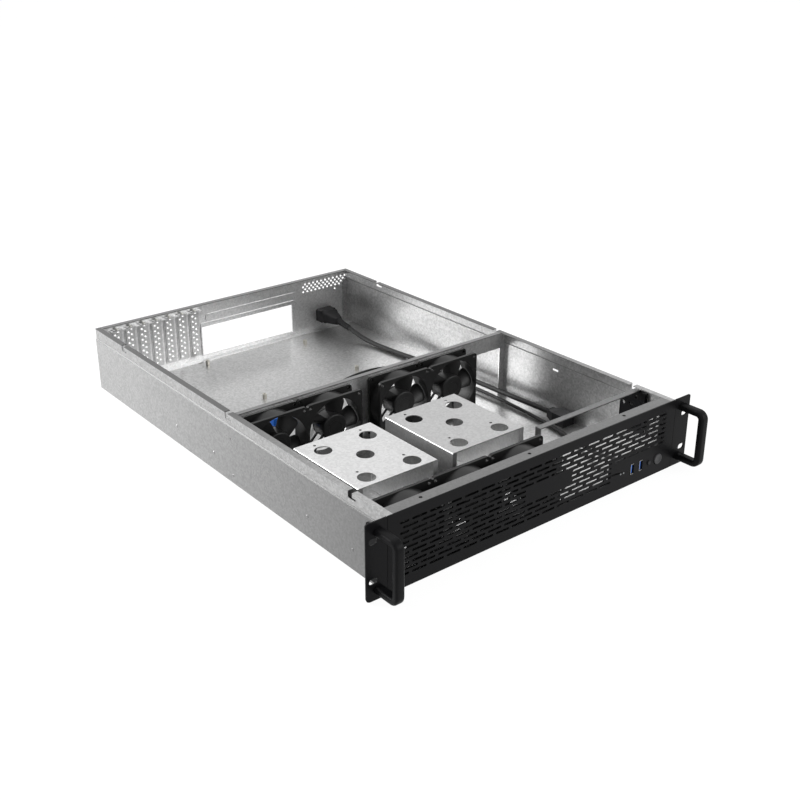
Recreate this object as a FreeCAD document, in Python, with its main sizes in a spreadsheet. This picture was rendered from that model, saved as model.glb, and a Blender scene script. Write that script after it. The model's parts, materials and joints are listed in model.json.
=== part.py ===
import FreeCAD, Part
import math
import os

# Empty two-unit rackmount server case, millimetres.
# X runs across the case, Y from the front panel to the rear, Z up from the underside.
# Everything is drawn with the front panel's face at Y = 0 and is then moved by front_y,
# so that the origin lies under the middle of the whole case.

SIZES = [
    # folded sheet case
    ("case_depth", 650.0),
    ("body_width", 430.0),
    ("wall_height", 88.0),
    ("sheet", 1.0),
    ("joggle_z", 72.5),
    ("joggle_rise", 2.0),
    ("wall_inset", 1.0),
    ("top_flange", 7.0),
    ("notch_width", 7.0),
    ("notch_depth", 8.0),
    ("notch_reach", 13.0),
    ("notch_leg", 2.6),
    ("notch_1_y", 58.0),
    ("notch_2_y", 296.0),
    ("notch_3_y", 562.0),
    ("seam", 0.3),
    # front panel and its slots
    ("panel_thick", 1.5),
    ("panel_gap", 0.3),
    ("panel_height", 88.1),
    ("slot_rows", 11.0),
    ("slot_row_pitch", 6.0),
    ("slot_first_z", 15.0),
    ("slot_high", 3.4),
    ("slot_long", 19.0),
    ("slot_pitch", 22.8),
    ("slot_margin", 15.2),
    ("slot_shortest", 5.0),
    ("plain_wide", 106.0),
    ("plain_top", 37.0),
    ("badge_x", 7.0),
    ("badge_z", 43.5),
    ("badge_width", 70.0),
    ("badge_height", 15.0),
    # rack ears and handles
    ("ear_wide", 26.3),
    ("ear_thick", 2.0),
    ("ear_return", 32.0),
    ("ear_corner", 4.5),
    ("rack_hole_edge", 8.75),
    ("rack_hole_z", 22.225),
    ("rack_hole_pitch", 44.45),
    ("rack_hole_long", 10.3),
    ("rack_hole_high", 6.8),
    ("handle_out", 11.5),
    ("handle_wide", 11.0),
    ("handle_bar", 8.0),
    ("handle_reach", 35.0),
    ("handle_low", 8.0),
    ("handle_tall", 72.5),
    ("handle_bend", 11.0),
    ("handle_edge", 2.2),
    ("screw_head_r", 3.0),
    ("screw_head_high", 1.8),
    # front frame behind the panel
    ("frame_y", 14.8),
    ("frame_hole_pitch", 150.0),
    ("frame_hole_x", -16.0),
    ("frame_hole_y", 9.5),
    ("frame_hole_r", 2.0),
    ("frame_open_in", 9.0),
    ("frame_margin", 7.0),
    # fans
    ("fan_size", 80.0),
    ("fan_deep", 25.0),
    ("fan_z", 4.5),
    ("fan_flange", 4.0),
    ("fan_bore_r", 38.0),
    ("fan_barrel_r", 39.6),
    ("fan_corner", 3.0),
    ("fan_hole_pitch", 71.5),
    ("fan_hole_r", 2.2),
    ("fan_hub_r", 17.0),
    ("fan_base_thick", 2.5),
    ("fan_strut", 3.0),
    ("fan_struts", 4.0),
    ("fan_gap", 0.3),
    ("rotor_front", 1.5),
    ("blade_count", 5.0),
    ("blade_thick", 1.8),
    ("blade_camber", 2.2),
    ("blade_sweep", 5.0),
    ("blade_root_r", 15.3),
    ("blade_root_chord", 19.0),
    ("blade_tip_chord", 27.0),
    ("blade_root_angle", 38.0),
    ("blade_tip_angle", 58.0),
    ("blade_tip_gap", 1.0),
    ("front_fan_in", 8.0),
    ("mid_fan_in", 7.5),
    ("mid_fan_pair_gap", 27.3),
    # fan wall across the middle
    ("fan_wall_y", 286.0),
    ("fan_wall_flange", 7.0),
    ("fan_wall_foot", 12.0),
    ("cable_gap_in", 10.2),
    ("cable_gap_wall", 10.0),
    ("cable_gap_top", 67.0),
    # drive cages
    ("cage_in", 65.0),
    ("cage_pitch", 126.0),
    ("cage_width", 105.4),
    ("cage_top", 86.0),
    ("cage_front", 63.0),
    ("cage_deep", 116.0),
    ("cage_foot", 8.0),
    ("cage_lip", 6.0),
    ("cage_hole_dx", 61.72),
    ("cage_hole_dy", 76.6),
    ("cage_hole_rear", 9.0),
    ("cage_hole_r", 1.75),
    ("cage_window_r", 10.0),
    ("cage_window_dx", 60.2),
    ("cage_window_step", 15.0),
    ("cage_window_in", 57.0),
    # power supply bay
    ("bar_y", 50.0),
    ("bar_deep", 8.0),
    ("bar_top", 84.0),
    ("bar_long", 173.0),
    ("bar_thick", 1.2),
    ("bar_tab", 9.0),
    ("bracket_out", 7.0),
    ("bracket_front", 40.0),
    ("bracket_deep", 37.0),
    ("bracket_low", 30.0),
    ("bracket_thick", 1.5),
    ("bracket_slant", 18.0),
    ("bracket_hole_r", 2.3),
    ("bracket_hole_1_in", 12.8),
    ("bracket_hole_1_down", 8.4),
    ("bracket_hole_2_in", 20.4),
    ("bracket_hole_2_down", 20.4),
    ("bracket_hole_3_in", 31.3),
    ("bracket_hole_3_down", 21.6),
    # front sockets and buttons
    ("io_left_in", 97.0),
    ("io_right_in", 11.0),
    ("io_low", 4.0),
    ("io_high", 34.0),
    ("io_deep", 11.0),
    ("usb_in", 69.6),
    ("usb_pitch", 15.0),
    ("usb_z", 19.8),
    ("usb_wide", 5.7),
    ("usb_high", 13.1),
    ("usb_wall", 0.5),
    ("usb_deep", 17.0),
    ("tongue_thick", 1.9),
    ("tongue_high", 10.6),
    ("power_in", 24.7),
    ("power_r", 6.5),
    ("reset_in", 40.5),
    ("reset_r", 2.5),
    ("button_z", 19.0),
    ("button_proud", 1.2),
    ("button_long", 8.0),
    ("button_gap", 0.25),
    ("led_in", 89.0),
    ("led_pitch", 5.0),
    ("led_z", 19.5),
    ("led_r", 1.5),
    ("led_long", 4.0),
    # rear panel
    ("rear_foot", 12.0),
    ("rear_flange", 7.0),
    ("card_first_dx", 118.2),
    ("card_pitch", 20.32),
    ("card_count", 7.0),
    ("card_open", 12.5),
    ("card_low", 12.0),
    ("card_high", 76.0),
    ("cover_wide", 16.6),
    ("cover_low", 9.0),
    ("cover_top", 80.0),
    ("cover_thick", 0.8),
    ("cover_tab", 8.5),
    ("cover_tab_wide", 13.0),
    ("vent_pitch", 13.6),
    ("vent_column", 5.0),
    ("vent_r", 1.9),
    ("vent_rim", 3.0),
    ("vent_rows", 5.0),
    ("shelf_thick", 1.0),
    ("screw_y", 4.5),
    ("port_dx", 130.2),
    ("port_wide", 158.75),
    ("port_low", 6.9),
    ("port_high", 44.45),
    ("port_rim", 6.0),
    ("port_rim_deep", 1.5),
    ("emboss_in", 7.8),
    ("emboss_out", 7.0),
    ("emboss_low", 58.5),
    ("emboss_high", 11.5),
    ("emboss_deep", 1.0),
    ("emboss_corner", 4.0),
    ("rear_return", 10.0),
    ("rear_hole_in", 24.0),
    ("rear_hole_z", 60.0),
    ("field_in", 84.0),
    ("field_low", 66.3),
    ("field_pitch", 7.6),
    ("field_row", 3.95),
    ("field_r", 2.0),
    ("field_rows", 4.0),
    ("field_count", 11.0),
    # power inlet
    ("inlet_in", 46.5),
    ("inlet_z", 23.0),
    ("inlet_wide", 28.6),
    ("inlet_high", 20.0),
    ("inlet_bezel_wide", 50.0),
    ("inlet_bezel_high", 24.0),
    ("inlet_bezel", 2.5),
    ("inlet_corner", 2.0),
    ("inlet_long", 38.0),
    ("inlet_neck", 11.0),
    ("inlet_neck_dx", 2.5),
    ("inlet_neck_z", 20.0),
    ("inlet_socket_wide", 24.0),
    ("inlet_socket_high", 16.0),
    ("inlet_socket_deep", 16.0),
    ("inlet_pin_wide", 2.0),
    ("inlet_pin_high", 4.0),
    ("inlet_pin_long", 13.0),
    ("inlet_pin_dx", 7.0),
    ("inlet_screw_dx", 20.0),
    # motherboard standoffs
    ("board_in", 34.0),
    ("board_middle_dx", 124.46),
    ("board_right_dx", 281.94),
    ("board_rear_in", 23.2),
    ("board_row_1", 22.86),
    ("board_row_2", 154.94),
    ("board_row_3", 227.33),
    ("standoff_r", 3.2),
    ("standoff_high", 6.5),
    ("standoff_bore_r", 1.3),
    # rivets and small holes in the side walls
    ("rivet_r", 2.2),
    ("rivet_high", 0.8),
    ("rivet_1_y", 57.5),
    ("rivet_1_z", 23.0),
    ("rivet_2_y", 138.0),
    ("rivet_2_z", 25.0),
    ("rivet_3_y", 334.0),
    ("rivet_3_z", 23.0),
    ("rivet_4_y", 425.0),
    ("rivet_4_z", 24.0),
    ("rivet_5_y", 291.0),
    ("rivet_5_z", 10.0),
    ("small_hole_r", 1.5),
    ("floor_hole_in", 82.0),
    ("floor_hole_rear", 113.0),
    ("floor_hole_pitch", 45.0),
    ("wall_hole_y", 292.0),
    ("wall_hole_z", 57.0),
    ("wall_slot_y", 191.0),
    ("wall_slot_z", 63.0),
    ("wall_slot_long", 10.0),
    ("wall_slot_high", 3.0),
    # cords
    ("power_cord_r", 3.5),
    ("signal_cord_r", 2.3),
    ("plug_wide", 20.0),
    ("plug_high", 15.0),
    ("plug_long", 34.0),
    ("plug_neck", 10.0),
    ("header_wide", 9.0),
    ("header_high", 18.0),
    ("header_long", 26.0),
]

doc = FreeCAD.newDocument("rackmount_case")
sheet = doc.addObject("Spreadsheet::Sheet", "Sizes")
for row, (alias, value) in enumerate(SIZES, 1):
    sheet.set("A" + str(row), alias)
    sheet.set("B" + str(row), str(value))
    sheet.setAlias("B" + str(row), alias)
doc.recompute()


class SheetValues:
    """Reads a driving size from the spreadsheet by its alias."""

    def __getattr__(self, alias):
        return float(sheet.get(alias))


S = SheetValues()
REAR_REACH = "Sizes.inlet_bezel + Sizes.screw_head_high / 2"
FRONT_Y = "-(Sizes.case_depth + " + REAR_REACH + " - Sizes.handle_reach) / 2"
INSIDE = "Sizes.case_depth - Sizes.sheet"
NODES = []


def node(thing, name):
    """Keep thing as a sub-part called name, moved so that the origin is under the middle."""
    thing.Label = name
    thing.setExpression("Placement.Base.y", FRONT_Y)
    NODES.append(thing)
    return thing


def plane_of(body, role):
    """The body's own origin plane or axis with this role."""
    return next(item for item in body.Origin.OriginFeatures if item.Role == role)


def new_body(name):
    return doc.addObject("PartDesign::Body", name)


def sketch(body, name, role, place):
    """A sketch parallel to an origin plane, at the place given by an expression.

    Sketch x, y are X, Y on XY_Plane, X, Z on XZ_Plane and Y, Z on YZ_Plane.
    """
    drawn = body.newObject("Sketcher::SketchObject", name)
    drawn.AttachmentSupport = [(plane_of(body, role), "")]
    drawn.MapMode = "FlatFace"
    sign = "-" if role == "XZ_Plane" else ""
    drawn.setExpression("AttachmentOffset.Base.z", sign + "(" + place + ")")
    return drawn


def loop(drawn, points, radii=None):
    """Add a closed outline of straight lines to a sketch, with rounded corners where radii says."""
    count = len(points)
    radii = radii or [0.0] * count
    starts = []
    ends = []
    middles = []
    for i, (x, y) in enumerate(points):
        ax, ay = points[i - 1]
        bx, by = points[(i + 1) % count]
        la = math.hypot(ax - x, ay - y)
        lb = math.hypot(bx - x, by - y)
        ua = ((ax - x) / la, (ay - y) / la)
        ub = ((bx - x) / lb, (by - y) / lb)
        half = 0.5 * math.acos(max(-1.0, min(1.0, ua[0] * ub[0] + ua[1] * ub[1])))
        cut = radii[i] / math.tan(half)
        starts.append((x + ua[0] * cut, y + ua[1] * cut))
        ends.append((x + ub[0] * cut, y + ub[1] * cut))
        reach = radii[i] * (1 / math.sin(half) - 1)
        mx, my = ua[0] + ub[0], ua[1] + ub[1]
        lm = math.hypot(mx, my) or 1.0
        middles.append((x + mx / lm * reach, y + my / lm * reach))
    for i in range(count):
        j = (i + 1) % count
        if radii[i] > 0:
            arc = Part.Arc(vector(starts[i]), vector(middles[i]), vector(ends[i]))
            drawn.addGeometry(arc, False)
        drawn.addGeometry(Part.LineSegment(vector(ends[i]), vector(starts[j])), False)


def vector(point):
    return FreeCAD.Vector(point[0], point[1], 0)


def rectangle(drawn, x0, y0, x1, y1):
    loop(drawn, [(x0, y0), (x1, y0), (x1, y1), (x0, y1)])


def cornered(drawn, x0, y0, x1, y1, cut):
    """A rectangle with its corners cut off at 45 degrees."""
    loop(drawn, [
        (x0 + cut, y0), (x1 - cut, y0), (x1, y0 + cut), (x1, y1 - cut),
        (x1 - cut, y1), (x0 + cut, y1), (x0, y1 - cut), (x0, y0 + cut),
    ])


def rounded(points, radii, steps=3):
    """The same outline with each corner that has a radius turned into short straight runs."""
    made = []
    for i, (x, y) in enumerate(points):
        if radii[i] == 0:
            made.append((x, y))
            continue
        ua = unit((x, y), points[i - 1])
        ub = unit((x, y), points[(i + 1) % len(points)])
        middle = (x + (ua[0] + ub[0]) * radii[i], y + (ua[1] + ub[1]) * radii[i])
        for step in range(steps + 1):
            turn = math.pi / 2 * step / steps
            back, on = math.sin(turn), math.cos(turn)
            made.append((middle[0] - radii[i] * (ub[0] * on + ua[0] * back),
                         middle[1] - radii[i] * (ub[1] * on + ua[1] * back)))
    return made


def oblong(drawn, x, y, length, height):
    """A slot with round ends, along x."""
    r = height / 2
    d = length / 2 - r
    drawn.addGeometry(Part.LineSegment(vector((x - d, y + r)), vector((x + d, y + r))), False)
    drawn.addGeometry(Part.Arc(vector((x + d, y + r)), vector((x + d + r, y)), vector((x + d, y - r))), False)
    drawn.addGeometry(Part.LineSegment(vector((x + d, y - r)), vector((x - d, y - r))), False)
    drawn.addGeometry(Part.Arc(vector((x - d, y - r)), vector((x - d - r, y)), vector((x - d, y + r))), False)


def polygon(drawn, x, y, r, sides, turn=0.5):
    """A regular polygon whose flats lie on a circle of radius r, turned by a share of one side."""
    corner = r / math.cos(math.pi / sides)
    steps = [2 * math.pi * (k + turn) / sides for k in range(sides)]
    loop(drawn, [(x + corner * math.cos(a), y + corner * math.sin(a)) for a in steps])


def diamond(drawn, x, y, r):
    """A small square hole standing on its corner."""
    loop(drawn, [(x + r, y), (x, y + r), (x - r, y), (x, y - r)])


def folded(path, thick, bend=0.0):
    """Outline and corner radii of a sheet of this thickness folded along path, to its left side."""
    near = []
    far = []
    near_radii = []
    far_radii = []
    last = len(path) - 1
    for i, (x, y) in enumerate(path):
        before = unit(path[i - 1], path[i]) if i > 0 else unit(path[0], path[1])
        after = unit(path[i], path[i + 1]) if i < last else before
        nx, ny = -before[1] - after[1], before[0] + after[0]
        share = 1 + before[0] * after[0] + before[1] * after[1]
        near.append((x, y))
        far.append((x + thick * nx / share, y + thick * ny / share))
        turn = before[0] * after[1] - before[1] * after[0]
        folds = bend if 0 < i < last else 0.0
        outside = folds + thick if folds else 0.0
        near_radii.append(outside if turn > 0 else folds)
        far_radii.append(folds if turn > 0 else outside)
    return near + far[::-1], near_radii + far_radii[::-1]


def unit(a, b):
    length = math.hypot(b[0] - a[0], b[1] - a[1])
    return ((b[0] - a[0]) / length, (b[1] - a[1]) / length)


def pad(body, drawn, length, backward=False):
    """Pad a sketch by an expression's length along its normal, or backward against it."""
    made = body.newObject("PartDesign::Pad", drawn.Name + "_pad")
    made.Profile = drawn
    made.Reversed = backward
    made.setExpression("Length", length)
    drawn.Visibility = False
    return made


def cut_through(body, drawn):
    """Cut a sketch through the whole body, on both sides of its plane."""
    doc.recompute()
    before = body.Shape.Volume
    made = body.newObject("PartDesign::Pocket", drawn.Name + "_cut")
    made.Profile = drawn
    made.Type = "ThroughAll"
    made.Midplane = True
    doc.recompute()
    if not body.Shape.Volume < before:
        raise RuntimeError(drawn.Name + " cuts nothing")
    return made


def cut_deep(body, drawn, length, backward=False):
    """Cut a sketch into the body by an expression's length."""
    doc.recompute()
    before = body.Shape.Volume
    made = body.newObject("PartDesign::Pocket", drawn.Name + "_cut")
    made.Profile = drawn
    made.Reversed = backward
    made.setExpression("Length", length)
    doc.recompute()
    if not body.Shape.Volume < before:
        raise RuntimeError(drawn.Name + " cuts nothing")
    return made


def group(name, pieces):
    """Join separate solids, such as like fasteners, in one sub-part."""
    made = doc.addObject("Part::Compound", name)
    made.Links = pieces
    return node(made, name)


def prism(name, sides, radius, height, x, y, z, along="Z"):
    """A many-sided disc bound to the sheet by expressions, with its base centre at x, y, z."""
    made = doc.addObject("Part::Prism", name)
    made.Polygon = sides
    if along == "Y":
        made.Placement.Rotation = FreeCAD.Rotation(FreeCAD.Vector(1, 0, 0), -90)
    if along == "X":
        made.Placement.Rotation = FreeCAD.Rotation(FreeCAD.Vector(0, 1, 0), 90)
    made.setExpression("Circumradius", radius)
    made.setExpression("Height", height)
    place(made, x, y, z)
    return made


def box(name, length, width, height, x, y, z):
    """A box bound to the sheet by expressions, with its lowest corner at x, y, z."""
    made = doc.addObject("Part::Box", name)
    made.setExpression("Length", length)
    made.setExpression("Width", width)
    made.setExpression("Height", height)
    place(made, x, y, z)
    return made


def place(made, x, y, z):
    for axis, words in (("x", x), ("y", y), ("z", z)):
        made.setExpression("Placement.Base." + axis, words)


def wedge(body, name, front, rear):
    """A tapering block between two upright rectangles, each given as y, x0, x1, z0, z1."""
    made = body.newObject("PartDesign::AdditiveWedge", name)
    made.Ymin, made.Xmin, made.Xmax, made.Zmin, made.Zmax = front
    made.Ymax, made.X2min, made.X2max, made.Z2min, made.Z2max = rear
    return made


def in_from_left(distance):
    """X this far in from the left wall's outside."""
    return distance - S.body_width / 2


def in_from_right(distance):
    """X this far in from the right wall's outside."""
    return S.body_width / 2 - distance


def right_place(alias):
    """The same from the right wall, as an expression with a size of the sheet."""
    return "Sizes.body_width / 2 - Sizes." + alias


def inner_width():
    """Half the clear width between the side walls, above the joggle."""
    return S.body_width / 2 - S.wall_inset - S.sheet


def flange_end():
    """X where a cross wall's top flange ends beside the side wall's own flange."""
    return S.body_width / 2 - S.wall_inset - S.top_flange - S.seam


def bulkhead_outline(gap_left=None, gap_right=None, gap_top=None):
    """A wall between the side walls, notched round their top flanges and over a cable gap."""
    low = S.body_width / 2 - S.sheet
    high = inner_width()
    shoulder = S.wall_height - S.sheet - S.seam
    right = [
        (low, S.sheet),
        (low, S.joggle_z - S.sheet),
        (high, S.joggle_z + S.joggle_rise),
        (high, shoulder),
        (flange_end(), shoulder),
        (flange_end(), S.wall_height),
    ]
    left = [(-x, z) for x, z in right[::-1]]
    if gap_left is None:
        return left[-1:] + right + left[:-1]
    gap = [(gap_left, S.sheet), (gap_left, gap_top), (gap_right, gap_top), (gap_right, S.sheet)]
    return left[-1:] + gap + right + left[:-1]


def chassis_tub():
    """Floor and both side walls, folded from one sheet, with lid notches and rear returns."""
    body = new_body("chassis_tub")
    half = S.body_width / 2
    high = half - S.wall_inset
    side = [
        (high - S.top_flange, S.wall_height),
        (high, S.wall_height),
        (high, S.joggle_z + S.joggle_rise),
        (half, S.joggle_z),
        (half, 0.0),
    ]
    path = [(-x, z) for x, z in side] + side[::-1]
    section = sketch(body, "tub_section", "XZ_Plane", "Sizes.panel_thick")
    loop(section, *folded(path, S.sheet))
    pad(body, section, "Sizes.case_depth - Sizes.panel_thick - Sizes.sheet", backward=True)
    returns = sketch(body, "rear_returns", "XY_Plane", "2 * Sizes.sheet + Sizes.seam")
    rear = S.case_depth - S.sheet
    for sign in (-1, 1):
        ends = sorted((sign * (half - S.sheet / 2), sign * (half - S.rear_return)))
        rectangle(returns, ends[0], rear - S.sheet, ends[1], rear)
    pad(body, returns, "Sizes.joggle_z - 3 * Sizes.sheet - Sizes.seam")
    notches = sketch(body, "lid_notches", "YZ_Plane", "0")
    for y in (S.notch_1_y, S.notch_2_y, S.notch_3_y):
        back = y + S.notch_width
        foot = S.wall_height - S.notch_depth
        front = back - S.notch_reach
        loop(notches, [
            (back, foot), (back, S.wall_height + S.sheet), (y, S.wall_height + S.sheet),
            (y, foot + S.notch_leg), (front, foot + S.notch_leg), (front, foot),
        ])
    cut_through(body, notches)
    holes = sketch(body, "floor_holes", "XY_Plane", "0")
    for k in range(2):
        polygon(holes, in_from_right(S.floor_hole_in),
                S.case_depth - S.floor_hole_rear - S.floor_hole_pitch * k, S.small_hole_r, 8)
    cut_through(body, holes)
    left_hole = sketch(body, "left_wall_hole", "YZ_Plane", "-Sizes.body_width / 2 + 2 * Sizes.sheet")
    polygon(left_hole, S.wall_hole_y, S.wall_hole_z, S.small_hole_r, 8)
    cut_deep(body, left_hole, "3 * Sizes.sheet")
    right_slot = sketch(body, "right_wall_slot", "YZ_Plane", "Sizes.body_width / 2 + Sizes.sheet")
    rectangle(right_slot, S.wall_slot_y - S.wall_slot_long / 2, S.wall_slot_z - S.wall_slot_high / 2,
              S.wall_slot_y + S.wall_slot_long / 2, S.wall_slot_z + S.wall_slot_high / 2)
    cut_deep(body, right_slot, "3 * Sizes.sheet")
    return node(body, "chassis_tub")


def card_centres():
    """Middle of each expansion opening, from the middle of the case outward."""
    first = in_from_left(S.board_in + S.card_first_dx)
    return [first - S.card_pitch * k for k in range(int(S.card_count))]


def rear_panel():
    """Rear wall with card openings, port opening, vents, inlet opening and inward flanges."""
    body = new_body("rear_panel")
    half = S.body_width / 2
    high = half - S.wall_inset
    wall = sketch(body, "rear_wall", "XZ_Plane", INSIDE)
    loop(wall, [
        (-half, 0), (half, 0), (half, S.joggle_z), (high, S.joggle_z + S.joggle_rise),
        (high, S.wall_height), (-high, S.wall_height),
        (-high, S.joggle_z + S.joggle_rise), (-half, S.joggle_z),
    ])
    for x in card_centres():
        rectangle(wall, x - S.card_open / 2, S.card_low, x + S.card_open / 2, S.card_high)
    left = in_from_left(S.board_in + S.port_dx)
    right = left + S.port_wide
    low, top = S.port_low, S.port_low + S.port_high
    rectangle(wall, left, low, right, top)
    for row in range(int(S.field_rows)):
        start = in_from_right(S.field_in) + (S.field_pitch / 2 if row % 2 else 0)
        for k in range(int(S.field_count)):
            diamond(wall, start + S.field_pitch * k, S.field_low + S.field_row * row, S.field_r)
    x = in_from_right(S.inlet_in)
    rectangle(wall, x - S.inlet_wide / 2, S.inlet_z - S.inlet_high / 2,
              x + S.inlet_wide / 2, S.inlet_z + S.inlet_high / 2)
    polygon(wall, in_from_right(S.rear_hole_in), S.rear_hole_z, S.small_hole_r, 8)
    pad(body, wall, "Sizes.sheet", backward=True)
    inside = S.case_depth - S.sheet
    foot = sketch(body, "rear_foot", "XY_Plane", "Sizes.sheet")
    rectangle(foot, -half + S.sheet, inside - S.rear_foot, half - S.sheet, inside + S.sheet / 2)
    pad(body, foot, "Sizes.sheet")
    flange = sketch(body, "rear_flange", "XY_Plane", "Sizes.wall_height - Sizes.sheet")
    rectangle(flange, -flange_end(), inside - S.rear_flange, flange_end(), inside + S.sheet / 2)
    pad(body, flange, "Sizes.sheet")
    rim = sketch(body, "port_rim", "XZ_Plane", INSIDE + " - Sizes.port_rim_deep")
    wide = S.port_rim
    rectangle(rim, left, low, right, top)
    loop(rim, [(left - wide / 3, low - wide / 3), (right + wide, low - wide / 3),
               (right + wide, top + wide / 2), (right + wide / 2, top + wide), (left, top + wide),
               (left - wide / 3, top + wide / 2)])
    pad(body, rim, "Sizes.port_rim_deep + Sizes.sheet / 2", backward=True)
    emboss = sketch(body, "port_emboss", "XZ_Plane", INSIDE + " - Sizes.emboss_deep")
    cornered(emboss, left + S.emboss_in, S.emboss_low, right + S.emboss_out,
             S.emboss_low + S.emboss_high, S.emboss_corner)
    pad(body, emboss, "Sizes.emboss_deep + Sizes.sheet / 2", backward=True)
    shelf = sketch(body, "card_shelf", "XY_Plane", "Sizes.cover_top - Sizes.shelf_thick")
    back = inside - S.cover_thick - S.seam
    front = inside - S.cover_tab + S.seam
    centres = card_centres()
    comb = [(centres[-1] - S.card_pitch / 2, front), (centres[0] + S.card_pitch / 2, front)]
    side = S.cover_wide / 2 + S.seam
    for x in centres:
        if x == centres[0]:
            comb.append((x + S.card_pitch / 2, inside + S.sheet / 2))
        comb += [(x + side, inside + S.sheet / 2), (x + side, back), (x - side, back)]
        comb.append((x - side, inside + S.sheet / 2))
    comb.append((centres[-1] - S.card_pitch / 2, inside + S.sheet / 2))
    loop(shelf, comb)
    pad(body, shelf, "Sizes.shelf_thick")
    return node(body, "rear_panel")


def slot_cover(number, x):
    """One perforated low cover for a card opening, with its tab folded over the shelf."""
    name = "slot_cover_" + str(number)
    body = new_body(name)
    blade_face = sketch(body, "cover_" + str(number), "XZ_Plane", INSIDE + " - Sizes.cover_thick")
    rectangle(blade_face, x - S.cover_wide / 2, S.cover_low, x + S.cover_wide / 2,
              S.cover_top + S.cover_thick)
    first = S.card_low + S.vent_rim
    for row in range(int(S.vent_rows)):
        z = first + S.vent_pitch * row
        diamond(blade_face, x - S.vent_column / 2, z, S.vent_r)
        if row < S.vent_rows - 1:
            diamond(blade_face, x + S.vent_column / 2, z + S.vent_pitch / 2, S.vent_r)
    pad(body, blade_face, "Sizes.cover_thick", backward=True)
    tab = sketch(body, "tab_" + str(number), "XY_Plane", "Sizes.cover_top")
    back = S.case_depth - S.sheet
    rectangle(tab, x - S.cover_tab_wide / 2, back - S.cover_tab,
              x + S.cover_tab_wide / 2, back - S.cover_thick / 2)
    pad(body, tab, "Sizes.cover_thick")
    return node(body, name)


def slot_cover_screws():
    """Screw heads on the covers' tabs."""
    heads = []
    for number, x in enumerate(card_centres(), 1):
        heads.append(prism(
            "cover_screw_" + str(number), 6, "Sizes.screw_head_r - 0.4", "Sizes.screw_head_high",
            str(x), INSIDE + " - Sizes.screw_y", "Sizes.cover_top + Sizes.cover_thick"))
    return group("slot_cover_screws", heads)


def slot_rows():
    """Left and right end of every slot in the front panel, row by row."""
    edge = S.body_width / 2 - S.panel_gap - S.slot_margin
    for row in range(int(S.slot_rows)):
        z = S.slot_first_z + S.slot_row_pitch * row
        right_end = edge if z > S.plain_top else in_from_right(S.plain_wide)
        start = edge - S.slot_long - (S.slot_pitch / 2 if row % 2 else 0)
        for k in range(-1, int(2 * edge / S.slot_pitch) + 2):
            x0 = max(start - S.slot_pitch * k, -edge)
            x1 = min(start - S.slot_pitch * k + S.slot_long, right_end)
            if x1 - x0 >= S.slot_shortest:
                yield from around_badge(x0, x1, z)


def around_badge(x0, x1, z):
    """Keep slots clear of the plain field in the panel's middle."""
    left = S.badge_x - S.badge_width / 2
    right = S.badge_x + S.badge_width / 2
    level = abs(z - S.badge_z) < (S.badge_height + S.slot_high) / 2
    if not level or x1 <= left or x0 >= right:
        yield x0, x1, z
        return
    if left - x0 >= S.slot_shortest:
        yield x0, left, z
    if x1 - right >= S.slot_shortest:
        yield right, x1, z


def front_panel():
    """Black slotted front panel, one sheet."""
    body = new_body("front_panel")
    face = sketch(body, "panel_face", "XZ_Plane", "0")
    half = S.body_width / 2 - S.panel_gap
    rectangle(face, -half, 0, half, S.panel_height)
    for x0, x1, z in slot_rows():
        rectangle(face, x0, z - S.slot_high / 2, x1, z + S.slot_high / 2)
    for x in usb_centres():
        rectangle(face, x - S.usb_wide / 2 - S.button_gap, S.usb_z - S.usb_high / 2 - S.button_gap,
                  x + S.usb_wide / 2 + S.button_gap, S.usb_z + S.usb_high / 2 + S.button_gap)
    button_bores(face)
    led_bores(face)
    pad(body, face, "Sizes.panel_thick", backward=True)
    return node(body, "front_panel")


def button_bores(drawn):
    """Openings for the two round buttons."""
    polygon(drawn, in_from_right(S.power_in), S.button_z, S.power_r + S.button_gap, 14)
    polygon(drawn, in_from_right(S.reset_in), S.button_z, S.reset_r + S.button_gap, 10)


def led_bores(drawn):
    """Openings for the two lamp lenses."""
    for k in range(2):
        polygon(drawn, in_from_right(S.led_in) + S.led_pitch * k, S.led_z, S.led_r, 8)


def ear(side, sign):
    """One rack ear: flat plate with two oblong holes and a return along the side wall."""
    name = "ear_" + side
    body = new_body(name)
    inner = S.body_width / 2
    outer = inner + S.ear_wide
    top = S.panel_height
    cut = S.ear_corner
    face = sketch(body, "ear_face_" + side, "XZ_Plane", "0")
    loop(face, [
        (sign * inner, 0), (sign * (outer - cut), 0), (sign * (outer - cut * 0.3), cut * 0.3),
        (sign * outer, cut), (sign * outer, top - cut / 3), (sign * (outer - cut / 3), top),
        (sign * inner, top),
    ])
    for k in range(2):
        oblong(face, sign * (outer - S.rack_hole_edge), S.rack_hole_z + S.rack_hole_pitch * k,
               S.rack_hole_long, S.rack_hole_high)
    pad(body, face, "Sizes.ear_thick", backward=True)
    strip = sketch(body, "ear_return_" + side, "XY_Plane", "Sizes.ear_corner")
    rectangle(strip, sign * inner, S.ear_thick / 2, sign * (inner + S.ear_thick), S.ear_return)
    pad(body, strip, "Sizes.joggle_z - 2 * Sizes.ear_corner")
    return node(body, name)


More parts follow.
